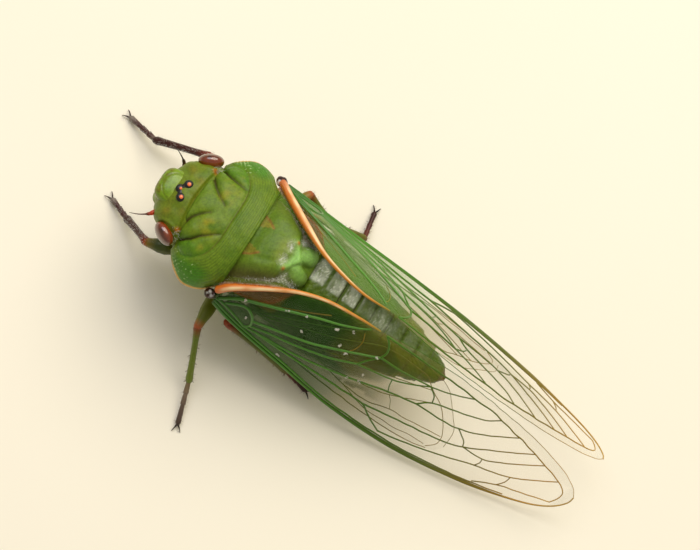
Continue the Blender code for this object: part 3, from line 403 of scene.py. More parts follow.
def at_stations(stations, ys):
    """The stations' sizes at each y, on smooth curves through them."""
    rows = np.array(stations, float)
    out = []
    for y in ys:
        k = int(np.clip(np.searchsorted(rows[:, 0], y) - 1, 0, len(rows) - 2))
        a, b, c, d = rows[max(k - 1, 0)], rows[k], rows[k + 1], rows[min(k + 2, len(rows) - 1)]
        row = curve_point(a, b, c, d, np.clip((y - b[0]) / (c[0] - b[0]), 0, 1))
        row[0] = y
        out.append(row)
    return np.array(out)


def shell_grid(stations, ys, sides, belly, power):
    """Closed rings along the body, and the height of its widest line at each of their points.

    Above that line the body is a round arch, below it it narrows to a share given by belly.
    """
    rows = at_stations(stations, ys)
    angle = 2 * np.pi * np.arange(sides) / sides
    c, s = np.cos(angle)[None], np.sin(angle)[None]
    y, wide, mid, top, low = (rows[:, k][:, None] for k in range(5))
    e = 2 / power
    x = wide * np.sign(c) * np.abs(c) ** e
    z = np.where(s >= 0, mid + (top - mid) * np.abs(s) ** e, mid - (mid - low) * np.abs(s) ** e)
    x = x * np.where(s < 0, 1 - (1 - belly) * np.minimum(1, -s / 0.35), 1)
    return np.stack([x, y + 0 * x, z], -1), mid + 0 * x


def grid_normals(grid):
    """Outward normals of a grid of closed rings."""
    along = np.gradient(grid, axis=0)
    around = (np.roll(grid, -1, 1) - np.roll(grid, 1, 1)) / 2
    normal = np.cross(around, along)
    normal /= np.linalg.norm(normal, axis=-1, keepdims=True) + 1e-12
    centre = grid.mean(1, keepdims=True)
    flip = np.sign(((grid - centre) * normal).sum(-1, keepdims=True).mean())
    return normal * flip


def close_grid(grid):
    """Points and faces of closed rings with a fan at each end."""
    rows, count = grid.shape[:2]
    points = grid.reshape(-1, 3)
    faces = []
    for r in range(rows - 1):
        a, b = r * count, (r + 1) * count
        for i in range(count):
            j = (i + 1) % count
            faces.append((a + i, a + j, b + j, b + i))
    tips = [grid[0].mean(0), grid[-1].mean(0)]
    for tip, base in ((len(points), 0), (len(points) + 1, (rows - 1) * count)):
        faces += [(tip, base + i, base + (i + 1) % count) for i in range(count)]
    return np.vstack([points, tips]), faces


def padded_marks(marks):
    """Marks for the grid's points and, at zero, for the two end points."""
    return {key: np.append(np.asarray(values).ravel(), [0, 0]) for key, values in marks.items()}


def near(x, y, path):
    """Distance in the plan from each point to a path, and how far along the path that is (0 to 1)."""
    path = np.asarray(path, float)
    best = np.full(np.shape(x), 1e9)
    share = np.zeros(np.shape(x))
    lengths = np.linalg.norm(np.diff(path, axis=0), axis=1)
    total, run = lengths.sum(), 0.0
    for a, b, length in zip(path, path[1:], lengths):
        t = np.clip(((x - a[0]) * (b[0] - a[0]) + (y - a[1]) * (b[1] - a[1])) / max(length ** 2, 1e-12), 0, 1)
        d = np.hypot(x - a[0] - t * (b[0] - a[0]), y - a[1] - t * (b[1] - a[1]))
        closer = d < best
        best = np.where(closer, d, best)
        share = np.where(closer, (run + t * length) / total, share)
        run += length
    return best, share


def hill(distance, width):
    """A smooth bump: 1 where the distance is 0, almost nothing past twice the width."""
    return np.exp(-(distance / width) ** 2)


def step_up(value, low, high):
    """A smooth step from 0 at low to 1 at high."""
    t = np.clip((value - low) / (high - low), 0, 1)
    return t * t * (3 - 2 * t)


def within(x, y, loop):
    """Which points of the plan lie inside a closed outline."""
    hit = np.zeros(np.shape(x), bool)
    for (xa, ya), (xb, yb) in zip(loop, list(loop[1:]) + [loop[0]]):
        crosses = (ya > y) != (yb > y)
        slope = (xb - xa) * (y - ya) / ((yb - ya) if yb != ya else 1e-9) + xa
        hit ^= crosses & (x < slope)
    return hit


def mottle(x, y, z, size, seed):
    """Smooth made-up unevenness between -1 and 1, built from turned waves about size across."""
    rng = np.random.default_rng(seed)
    total = np.zeros(np.shape(x))
    for _ in range(14):
        way = rng.normal(size=3)
        way *= 2 * np.pi / (size * rng.uniform(0.7, 1.8) * np.linalg.norm(way))
        total += np.sin(x * way[0] + y * way[1] + z * way[2] + rng.uniform(0, 6.28))
    return total / 5.3


# The surface that the wings lie on, and the room under it

def wing_place(u, v, side, lift=0.0):
    """Points of the roof-like wing surface, lifted outwards."""
    u, v, lift = (np.asarray(k, float) for k in np.broadcast_arrays(u, v, lift))
    toe, drop = -WING_TOE_IN, WING_DROP[side]
    along = np.array([math.sin(toe) * math.cos(drop), math.cos(toe) * math.cos(drop), -math.sin(drop)])
    out = np.array([math.cos(toe), -math.sin(toe), 0])
    up = np.cross(out, along)
    bend = np.where(v < 0, WING_CURL_BACK, WING_CURL_COSTA)
    start = WING_SLOPE + WING_TWIST * u
    slope = start + bend * v
    across = ((np.sin(slope) - np.sin(start)) / bend)[..., None]
    down = ((np.cos(start) - np.cos(slope)) / bend)[..., None]
    normal = out * np.sin(slope)[..., None] + up * np.cos(slope)[..., None]
    place = WING_HINGE + along * u[..., None] + out * across - up * down + normal * lift[..., None]
    place[..., 0] *= side
    return place


def roof_table():
    """How far from the middle the body may reach at each y and z, under both wings."""
    ys, zs = np.arange(0.5, 31.1, 0.5), np.arange(5.0, 21.1, 0.25)
    table = np.full((len(ys), len(zs)), 1e3)
    v = np.linspace(-8.4, 8.6, 60)
    for side in (LEFT, RIGHT):
        for k, y in enumerate(ys):
            u = np.full(v.shape, max(y, 0.0))
            for _ in range(4):
                hind_edge = np.interp(u, (3.6, 6, 9.5, 13, 17), (-1.2, -2.4, -4.4, -6.2, -7.0))
                both = step_up(v - hind_edge, -1.5, 0)
                gap = BODY_UNDER_FOREWING + (BODY_UNDER_WING - BODY_UNDER_FOREWING) * both
                place = wing_place(u, v, side, -gap)
                u = np.maximum(u + y - place[:, 1], 0)
            order = np.argsort(place[:, 2])
            reach = np.interp(zs, place[order, 2], np.abs(place[order, 0]), left=1e3)
            table[k] = np.minimum(table[k], reach)
    return ys, zs, table


ROOF = roof_table()


def under_roof(grid):
    """The grid pulled in, smoothly, to where the wings leave room."""
    ys, zs, table = ROOF
    y = np.clip((grid[..., 1] - ys[0]) / 0.5, 0, len(ys) - 1.001)
    z = np.clip((grid[..., 2] - zs[0]) / 0.25, 0, len(zs) - 1.001)
    i, j = y.astype(int), z.astype(int)
    a, b = y - i, z - j
    limit = ((1 - a) * (1 - b) * table[i, j] + a * (1 - b) * table[i + 1, j]
             + (1 - a) * b * table[i, j + 1] + a * b * table[i + 1, j + 1])
    x = np.abs(grid[..., 0]) + 1e-6
    pulled = (x ** -8 + limit ** -8) ** -0.125
    use = (grid[..., 1] > 0.5) & (limit < 50)
    out = grid.copy()
    out[..., 0] = np.where(use, np.sign(grid[..., 0]) * pulled, grid[..., 0])
    return out


# Geometry node trees

def tree_for(name, inputs):
    """A node group with a geometry in and out and the named inputs; returns its ends and socket ids."""
    tree = bpy.data.node_groups.new(name, "GeometryNodeTree")
    tree.interface.new_socket("Geometry", in_out="INPUT", socket_type="NodeSocketGeometry")
    tree.interface.new_socket("Geometry", in_out="OUTPUT", socket_type="NodeSocketGeometry")
    ids = {}
    for label, kind in inputs:
        ids[label] = tree.interface.new_socket(label, in_out="INPUT", socket_type=kind).identifier
    start = tree.nodes.new("NodeGroupInput")
    end = tree.nodes.new("NodeGroupOutput")
    return tree, start, end, ids


def vein_tree():
    """A round tube along each edge path, as thick as the points' own radius."""
    tree, start, end, ids = tree_for("vein_tubes", [
        ("Thickness", "NodeSocketFloat"), ("Sides", "NodeSocketInt"), ("Finish", "NodeSocketMaterial")])
    curve = add(tree, "GeometryNodeMeshToCurve", Mesh=(start, "Geometry"))
    radius = add(tree, "GeometryNodeInputNamedAttribute", {"data_type": "FLOAT"}, Name="radius")
    size = add(tree, "ShaderNodeMath", {"operation": "MULTIPLY"}, i0=(radius, "Attribute"),
               i1=(start, "Thickness"))
    circle = add(tree, "GeometryNodeCurvePrimitiveCircle", Resolution=(start, "Sides"), Radius=1.0)
    tube = add(tree, "GeometryNodeCurveToMesh", Curve=(curve, 0), Profile_Curve=(circle, 0), Scale=(size, 0),
               Fill_Caps=True)
    real = add(tree, "GeometryNodeRealizeInstances", Geometry=(tube, 0))
    done = add(tree, "GeometryNodeSetMaterial", Geometry=(real, 0), Material=(start, "Finish"))
    tree.links.new(done.outputs[0], end.inputs["Geometry"])
    return tree, ids


def hair_tree():
    """Tapered hairs set on the surface where the points' own mark allows, leaning along one way."""
    tree, start, end, ids = tree_for("fine_hairs", [
        ("Per square metre", "NodeSocketFloat"), ("Length", "NodeSocketFloat"),
        ("Thickness", "NodeSocketFloat"), ("Lean", "NodeSocketVector"), ("Lean share", "NodeSocketFloat"),
        ("Seed", "NodeSocketInt"), ("Finish", "NodeSocketMaterial")])
    where = add(tree, "GeometryNodeInputNamedAttribute", {"data_type": "FLOAT"}, Name="hair")
    dense = add(tree, "ShaderNodeMath", {"operation": "MULTIPLY"}, i0=(where, "Attribute"),
                i1=(start, "Per square metre"))
    spots = add(tree, "GeometryNodeDistributePointsOnFaces", Mesh=(start, "Geometry"), Density=(dense, 0),
                Seed=(start, "Seed"))
    way = add(tree, "ShaderNodeMix", {"data_type": "VECTOR"}, i0=(start, "Lean share"), i4=(spots, "Normal"),
              i5=(start, "Lean"))
    stray = add(tree, "FunctionNodeRandomValue", {"data_type": "FLOAT_VECTOR"}, i0=(-HAIR_STRAY,) * 3,
                i1=(HAIR_STRAY,) * 3, Seed=(start, "Seed"))
    bent = add(tree, "ShaderNodeVectorMath", {"operation": "ADD"}, i0=(way, 1), i1=(stray, 0))
    turn = add(tree, "FunctionNodeAlignRotationToVector", {"axis": "Z"}, Vector=(bent, 0))
    cone = add(tree, "GeometryNodeMeshCone", {"fill_type": "NONE"}, Vertices=3, Side_Segments=2,
               Radius_Top=0.0, Radius_Bottom=(start, "Thickness"), Depth=(start, "Length"))
    grow = add(tree, "FunctionNodeRandomValue", {"data_type": "FLOAT"}, i2=HAIR_SIZES[0], i3=HAIR_SIZES[1],
               Seed=(start, "Seed"))
    hairs = add(tree, "GeometryNodeInstanceOnPoints", Points=(spots, "Points"), Instance=(cone, 0),
                Rotation=(turn, 0), Scale=(grow, 1))
    real = add(tree, "GeometryNodeRealizeInstances", Geometry=(hairs, 0))
    done = add(tree, "GeometryNodeSetMaterial", Geometry=(real, 0), Material=(start, "Finish"))
    tree.links.new(done.outputs[0], end.inputs["Geometry"])
    return tree, ids


VEIN_TREE = vein_tree()
HAIR_TREE = hair_tree()


def grown(name, base, built, values):
    """Runs a node tree on a base mesh, with its inputs set first, and returns a plain mesh object."""
    tree, ids = built
    holder = bpy.data.objects.new(name + "_base", base)
    bpy.context.scene.collection.objects.link(holder)
    grow = holder.modifiers.new("grow", "NODES")
    grow.node_group = tree
    for label, value in values.items():
        grow[ids[label]] = value
    bpy.context.view_layer.update()
    graph = bpy.context.evaluated_depsgraph_get()
    mesh = bpy.data.meshes.new_from_object(holder.evaluated_get(graph))
    holder.modifiers.remove(grow)
    bpy.data.objects.remove(holder, do_unlink=True)
    mesh.name = name
    mesh.shade_smooth()
    made = bpy.data.objects.new(name, mesh)
    bpy.context.scene.collection.objects.link(made)
    return made


def hair_coat(name, skin, look, per_mm2, length, thick, lean, lean_share, seed):
    """Fine hairs on a skin piece, with the map that tells where on the skin each hair is rooted."""
    coat = grown(name, skin.data.copy(), HAIR_TREE, {
        "Per square metre": per_mm2 * 1e6, "Length": length * MM, "Thickness": thick * MM, "Lean": lean,
        "Lean share": lean_share, "Seed": seed, "Finish": look})
    mesh = coat.data
    count = len(mesh.vertices)
    co = np.empty(count * 3)
    mesh.vertices.foreach_get("co", co)
    co = co.reshape(-1, 3)
    floor = HAIR_FLOOR * MM
    co[:, 2] = np.where(co[:, 2] < floor, floor + (co[:, 2] - floor) * HAIR_SPLAY, co[:, 2])
    mesh.vertices.foreach_set("co", co.ravel())
    loops = np.empty(len(mesh.loops), int)
    mesh.loops.foreach_get("vertex_index", loops)
    root = co.reshape(-1, HAIR_POINTS, 3).mean(1)[np.arange(count) // HAIR_POINTS]
    low, high = co.min(0), co.max(0)
    middle = (low + high) / 2
    around = np.arctan2(root[:, 0] - middle[0], root[:, 2] - middle[2]) / (2 * np.pi) + 0.5
    down = (root[:, 1] - low[1]) / max(high[1] - low[1], 1e-9)
    inside = (np.arange(count) % HAIR_POINTS) / HAIR_POINTS * HAIR_PATCH
    uv = np.stack([around * 0.99 + inside, down * 0.99 + inside], -1)
    layer = mesh.uv_layers.new(name="OFBake")
    layer.data.foreach_set("uv", uv[loops].astype(np.float32).ravel())
    return coat


# Pieces of the body

# On the shield's plan: both edges of the collar, and the fissures of the disc
COLLAR_FRONT = [(0, -2.75), (2.0, -2.72), (3.6, -2.82), (5.0, -3.2), (6.0, -3.95), (6.55, -4.8), (6.65, -5.6),
                (6.3, -6.4), (5.7, -6.95), (5.1, -7.2)]
COLLAR_OUTER = [(0, 0.45), (3, 0.4), (6, 0.25), (7.4, -0.3), (8.3, -1.2), (8.8, -2.6), (8.8, -3.9),
                (8.2, -5.2), (7.1, -6.6), (6.4, -7.4)]
FISSURE_INNER = {LEFT: [(4.2, -7.4), (3.03, -6.86), (2.21, -6.52), (1.37, -5.91), (0.55, -5.14)],
                 RIGHT: [(-4.1, -7.35), (-3.16, -6.63), (-2.4, -6.0), (-1.71, -5.28), (-0.98, -4.39)]}
FISSURE_OUTER = {LEFT: [(5.4, -7.1), (4.57, -5.67), (3.64, -4.83), (2.86, -3.89), (2.32, -3.08)],
                 RIGHT: [(-5.3, -6.9), (-4.84, -6.04), (-4.63, -5.47), (-4.41, -4.47), (-4.2, -3.37)]}
# Soft lobes of the disc: (place, size, rise)
LOBES = [((3.4, -5.8), 0.8, 0.16), ((2.2, -7.0), 0.6, 0.1), ((5.2, -4.9), 0.8, 0.14),
         ((1.5, -4.6), 0.8, 0.12), ((0.0, -6.2), 0.9, 0.1), ((2.9, -3.6), 0.5, 0.06)]
# Yellow in the disc: (x, y, size, strength)
YELLOW_SPOTS = [(2.6, -4.8, 0.75, 0.9), (1.6, -4.2, 0.6, 0.8), (1.8, -5.1, 0.5, 0.7), (4.9, -4.2, 0.5, 0.8),
                (4.0, -5.2, 0.5, 0.6), (3.2, -3.6, 0.6, 0.5)]


def sided(x, y, paths):
    """Distance and share along the path of each point's own side."""
    left, right = near(x, y, paths[LEFT]), near(x, y, paths[RIGHT])
    return np.where(x > 0, left[0], right[0]), np.where(x > 0, left[1], right[1])


def pronotum_shield(look):
    """The broad shield behind the head: a disc with furrows and lobes inside a ribbed collar."""
    ys = np.concatenate([np.arange(-7.0, 0.35, 0.06), [0.35, 0.38, 0.4, 0.38]])
    grid, mid = shell_grid(PRONOTUM, np.minimum(ys, 0.35), 340, 0.72, 2.2)
    grid[..., 1] += (ys - np.minimum(ys, 0.35))[:, None]
    x, y, z = grid[..., 0], grid[..., 1], grid[..., 2]
    ax = np.abs(x)
    top = step_up(z, mid - 0.2, mid + 1.2)
    normal = grid_normals(grid)
    front_edge = [tuple(p) for p in spline(COLLAR_FRONT, 0.25)]
    d_in, _ = near(ax, y, front_edge)
    disc = within(ax, y, front_edge + [(4.2, -9.5), (-1, -9.5), (-1, -2.75)])
    d_out, _ = near(ax, y, COLLAR_OUTER)
    signed = np.where(disc, d_in, -d_in)
    band = np.clip(d_in / (d_in + d_out + 1e-6), 0, 1)
    f1, s1 = sided(x, y, FISSURE_INNER)
    f2, s2 = sided(x, y, FISSURE_OUTER)
    fade1, fade2 = 1 - 0.6 * s1 ** 2, 1 - 0.6 * s2 ** 2
    # Furrow round the disc, two pairs of fissures in it, a low keel and soft lobes
    lift = -0.14 * hill(signed - 0.05, 0.2) - 0.1 * hill(signed - 0.2, 0.5)
    lift += disc * (-0.3 * hill(f1, 0.4) - 0.22 * hill(f1, 0.13)) * fade1
    lift += disc * (-0.3 * hill(f2, 0.4) - 0.22 * hill(f2, 0.13)) * fade2
    lift += 0.1 * hill(ax, 2.5) * step_up(y, -7, -6.4)
    for spot, size, rise in LOBES:
        lift += disc * rise * hill(np.hypot(ax - spot[0], y - spot[1]), size)
    # Fine ribs on the collar, a crinkled patch in each front corner, and general unevenness
    stria = np.sin(2 * np.pi * (11 * band) + 0.7 * mottle(x, y, z, 2.5, 3))
    ribbed = np.where(disc, 0, step_up(band, 0.04, 0.12) * (1 - step_up(ax, 7.6, 8.3)))
    lift += 0.018 * stria * ribbed
    corner = step_up(ax, 6.7, 7.3) * (1 - step_up(y, -5.2, -4.4)) * np.where(disc, 0, 1) * top
    crinkle = np.sin(2 * np.pi * (ax * 0.54 + y * 0.84) / 0.42)
    lift += 0.035 * crinkle * corner
    lift += 0.03 * mottle(x, y, z, 1.3, 5) + 0.012 * mottle(x, y, z, 0.4, 6)
    # Both edges are rolled in, and the front one bows over the head
    end_turn = np.zeros(len(ys))
    end_turn[-3:] = (0.03, 0.1, 0.24)
    end_turn[:3] = (0.22, 0.1, 0.03)
    moved = grid + normal * (lift * top)[..., None] - normal * end_turn[:, None, None]
    fade = np.clip(1 - (y + 7.0) / 2.6, 0, 1) * np.clip(1 - np.maximum(0, mid - z) / 4, 0, 1)
    moved[..., 1] -= nape_bow(ax) * fade
    turned = np.where(x < 0, 0.75, 0.0)
    rim = (1 - step_up(z - mid - turned, 0.55, 1.0)) * step_up(z - mid, -0.6, -0.2) * step_up(y, -6.7, -5.0)
    blots = 0.55 + 0.6 * mottle(x, y, z, 0.8, 8)
    dots = step_up(mottle(x, y, z, 0.3, 15), 0.75, 1.0) * step_up(ax, 5.8, 6.8)
    dots = dots * (1 - step_up(y, -3.8, -2.6)) * top
    # Painted shade: the fissures' grooves are painted dark brown by the dark mark.
    fissure_painted_shade = hill(f1, 0.15) * (1.1 - 0.5 * s1) + hill(f2, 0.15) * (1.1 - 0.5 * s2)
    bright = step_up(ax, 6.2, 7.4) * (1 - step_up(y, -2.6, -0.8)) + disc * 0.5 * step_up(ax, 3.5, 5.5)
    yellow = 0.75 * sum(rise * hill(np.hypot(ax - a, y - b), size) for a, b, size, rise in YELLOW_SPOTS)
    marks = {
        "rim": rim,
        "dark": np.clip(disc * fissure_painted_shade * top, 0, 1),
        "line": np.clip(hill(signed, 0.09) * top * (1 - step_up(ax, 5.2, 6.4)), 0, 1) * 0.5,
        "lobes": np.clip(disc * yellow * blots * top, 0, 1),
        # Painted shade in the grooves between the collar's ribs.
        "striae": np.clip(0.5 * ribbed * step_up(-stria, 0.1, 0.9) * top, 0, 1),
        "bright": np.clip(bright * top, 0, 1),
        "pale": np.clip(corner * step_up(crinkle, 0.5, 1.0) * (x < 0) + 0.8 * dots, 0, 1),
        "under": 1 - step_up(z, mid - 1.6, mid - 0.4),
    }
    points, faces = close_grid(moved)
    made = piece("pronotum_shield", points, faces, look, padded_marks(marks))
    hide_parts("pronotum")
    return made


def nape_bow(ax):
    """How far forward of its corners the shield's front edge lies at each distance from the middle."""
    return NAPE_BOW * np.clip(1 - (ax / 5.6) ** 2, 0, 1) ** 1.3


def head_shell(look):
    """The head behind the face and between the eyes, with its swellings and hollows."""
    ys = np.concatenate([np.arange(-11.8, -6.4, 0.07), [-6.4]])
    grid, mid = shell_grid(HEAD, ys, 240, 0.8, 2.4)
    x, y, z = grid[..., 0], grid[..., 1], grid[..., 2]
    ax = np.abs(x)
    top = step_up(z, mid + 0.3, mid + 1.6)
    normal = grid_normals(grid)
    # Swellings over the antennae and round the eyes, hollows beside the crown, and the step at the nape
    lift = 0.3 * hill(np.hypot(ax - 3.7, (y + 10.5) * 0.8), 0.85)
    lift -= 0.22 * hill(np.hypot(ax - 2.3, y + 10.3), 0.55)
    lift += 0.14 * hill(np.hypot(ax * 0.8, y + 9.5), 0.9)
    lift -= 0.16 * hill(np.hypot(ax - 2.3, y + 8.9), 0.7)
    lift += 0.2 * hill(np.hypot(ax - 4.3, y + 8.5), 0.7)
    lift -= 0.27 * step_up(y + 7.05 + nape_bow(ax), -0.4, 0.1)
    lift -= 0.08 * hill(ax, 0.18) * step_up(y, -9.3, -8.8)
    lift += 0.03 * mottle(x, y, z, 1.2, 12)
    socket = np.hypot(ax - EYE_CENTRE[0], np.hypot(y - EYE_CENTRE[1], z - EYE_CENTRE[2]))
    lift += 0.14 * hill(socket - 1.75, 0.22)
    moved = grid + normal * (lift * np.maximum(top, 0.25))[..., None]
    orange = hill(np.hypot((ax - 4.3) * 1.3, (y + 7.55)), 0.36)
    olive = (0.6 * hill(np.hypot(ax - 3.0, y + 9.9), 0.5) + 0.5 * hill(np.hypot(ax - 2.2, y + 8.4), 0.5)
             + 0.45 * hill(np.hypot(ax - 0.2, y + 7.6), 0.9))
    marks = {
        "orange": np.clip(orange * 1.2, 0, 1) * top,
        "olive": np.clip(olive, 0, 1) * top,
        "under": 1 - step_up(z, mid - 1.2, mid + 0.6),
        "hair": np.clip(hill(np.hypot(ax - 4.9, (y + 7.2)), 0.75), 0, 1) * top,
    }
    points, faces = close_grid(moved)
    made = piece("head_shell", points, faces, look, padded_marks(marks))
    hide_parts("head")
    return made


def ball_grid(centre, radii, turn, around, rows, power=2.0, dent=None, rise=None):
    """Points and faces of a closed rounded form; dent moves a point out or in along its radius.

    power squares its outline in the plan, rise squares its profile; 2 is round.
    """
    points = []
    e, f = 2 / power, 2 / (rise or power)
    for r in range(rows + 1):
        lat = math.pi * r / rows - math.pi / 2
        count = 1 if r in (0, rows) else around
        for i in range(count):
            lon = 2 * math.pi * i / around
            c, s = math.cos(lon), math.sin(lon)
            cl, sl = math.cos(lat), math.sin(lat)
            unit = np.array([math.copysign(abs(c) ** e, c) * abs(cl) ** f,
                             math.copysign(abs(s) ** e, s) * abs(cl) ** f, math.copysign(abs(sl) ** f, sl)])
            extra = dent(unit) if dent else 0.0
            local = unit * (np.array(radii) + extra)
            points.append((centre[0] + local[0] * math.cos(turn) - local[1] * math.sin(turn),
                           centre[1] + local[0] * math.sin(turn) + local[1] * math.cos(turn),
                           centre[2] + local[2]))

    def at(row, i):
        if row == 0:
            return 0
        return len(points) - 1 if row == rows else 1 + (row - 1) * around + i % around
    faces = []
    for r in range(rows):
        for i in range(around):
            corners = [at(r, i), at(r, i + 1), at(r + 1, i + 1), at(r + 1, i)]
            faces.append(tuple(dict.fromkeys(corners)))
    return np.array(points), faces


def face_dent(unit):
    """Cross ridges down both sides of the face, fading out over its smooth crown."""
    if unit[1] > -0.1:
        return 0.0
    side = min(1.0, max(0.0, (abs(unit[0]) - 0.12) / 0.25))
    fade = 1 - min(1.0, max(0.0, (unit[2] - 0.3) / 0.35))
    return 0.09 * side * fade * math.cos(math.pi * 9 * (unit[2] + 1))


def postclypeus(look):
    """The bulging ridged face, with a waist below its flat smooth crown."""
    points, faces = ball_grid(FACE_CENTRE, FACE_RADII, 0, 140, 130, 3.4, face_dent, 4.6)
    middle = np.array(FACE_CENTRE)
    high = (points[:, 2] - middle[2]) / FACE_RADII[2]
    waist = (1 - 0.2 * (1 - step_up(high, 0.2, 0.85)))[:, None]
    points[:, :2] = middle[:2] + (points[:, :2] - middle[:2]) * waist
    x, y, z = points.T
    crown = np.hypot(x / 1.75, (y - middle[1] + 0.1) / 1.8)
    points[:, 2] += (0.1 * (1 - step_up(crown, 0.3, 1.1)) - 0.035 * hill(crown - 1.0, 0.08)) * (high > 0.6)
    front = (1 - step_up(y, -12.3, -11.3)) * step_up(high, -0.3, 0.3)
    marks = {
        # Painted highlight: the crown's rear edge is painted a lighter green.
        "edge": step_up(y, -10.9, -9.9) * step_up(high, 0.4, 0.7),
        "soil": np.clip(front * (0.5 + 0.8 * mottle(x, y, z, 0.5, 71)), 0, 0.8),
        "ring": 0.6 * hill(crown - 1.0, 0.06) * (high > 0.6),
        "under": 1 - step_up(high, -0.9, 0.1),
    }
    made = piece("postclypeus_dome", points, faces, look, marks)
    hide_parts("postclypeus")
    return made


def eye(side, look):
    """A compound eye: a flattened ball turned outwards, with a lighter inner rim and a dark spot."""
    centre = (EYE_CENTRE[0] * side, EYE_CENTRE[1], EYE_CENTRE[2])
    points, faces = ball_grid(centre, EYE_RADII, -EYE_TURN * side, 72, 48, 2.05)
    local = points - np.array(centre)
    turn = EYE_TURN * side
    lx = (local[:, 0] * math.cos(turn) - local[:, 1] * math.sin(turn)) * side
    ly = local[:, 0] * math.sin(turn) + local[:, 1] * math.cos(turn)
    inner = 1 - step_up(lx, -0.75, -0.1)
    spot = hill(np.sqrt((lx - 0.35) ** 2 + (ly + 0.45) ** 2 + (local[:, 2] - 1.4) ** 2), 0.28)
    marks = {"rim": np.clip(inner + hill(lx + 0.1, 0.3) * 0.4, 0, 1), "pupil": np.clip(spot * 1.4, 0, 1)}
    made = piece("eye_ball_" + SIDE_NAMES[side], points, faces, look, marks)
    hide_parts("eye_" + SIDE_NAMES[side])
    return made


def ocelli(bead_look, ring_look):
    """Three orange beads in joined black surrounds on the crown."""
    beads, rings = [], []
    for centre in OCELLI:
        size = 0.33 if centre[0] else 0.25
        beads.append(ball_grid(centre, (size, size, 0.3), 0, 28, 18))
        rings.append(ball_grid((centre[0], centre[1], centre[2] - 0.1), (0.58, 0.6, 0.34), 0, 36, 14))
    middle = np.array(OCELLI[2]) + (0, 0.22, -0.08)
    for centre in OCELLI[:2]:
        bridge = spline([np.array(centre) - (0, 0, 0.12), middle], 0.08)
        points, faces = close_grid(sweep(bridge, np.full(len(bridge), 0.5), 16, 0.55))
        rings.append((points, faces))
    for name, parts, look in (("ocelli_beads", beads, bead_look), ("ocelli_surrounds", rings, ring_look)):
        points, faces = merged(parts)
        made = piece(name, points, faces, look)
        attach(made, "root")


def merged(parts):
    """Several closed forms as one list of points and one of faces."""
    points, faces, base = [], [], 0
    for pts, fcs in parts:
        points.append(np.asarray(pts))
        faces += [tuple(i + base for i in f) for f in fcs]
        base += len(pts)
    return np.vstack(points), faces


# On the back's plan: middle of the raised cross, foot of the skin at the wing's root, hollows that hold
# wax (x, y, size, strength), and the fringe of fur behind the dome
CROSS = (0.0, 6.5)
WEB_FOOT = [(5.6, -0.4), (5.2, 2.0), (4.2, 4.0), (3.3, 6.0), (2.9, 7.6)]
WAX_HOLLOWS = [(2.5, 6.2, 0.5, 0.9), (0.7, 4.9, 0.5, 0.8), (1.3, 4.75, 0.4, 0.7), (2.9, 7.4, 0.4, 0.5)]
SCUTUM_FRINGE = [(6.4, 1.0), (5.8, 1.6), (4.5, 3.9), (3.1, 6.2), (2.8, 7.6)]


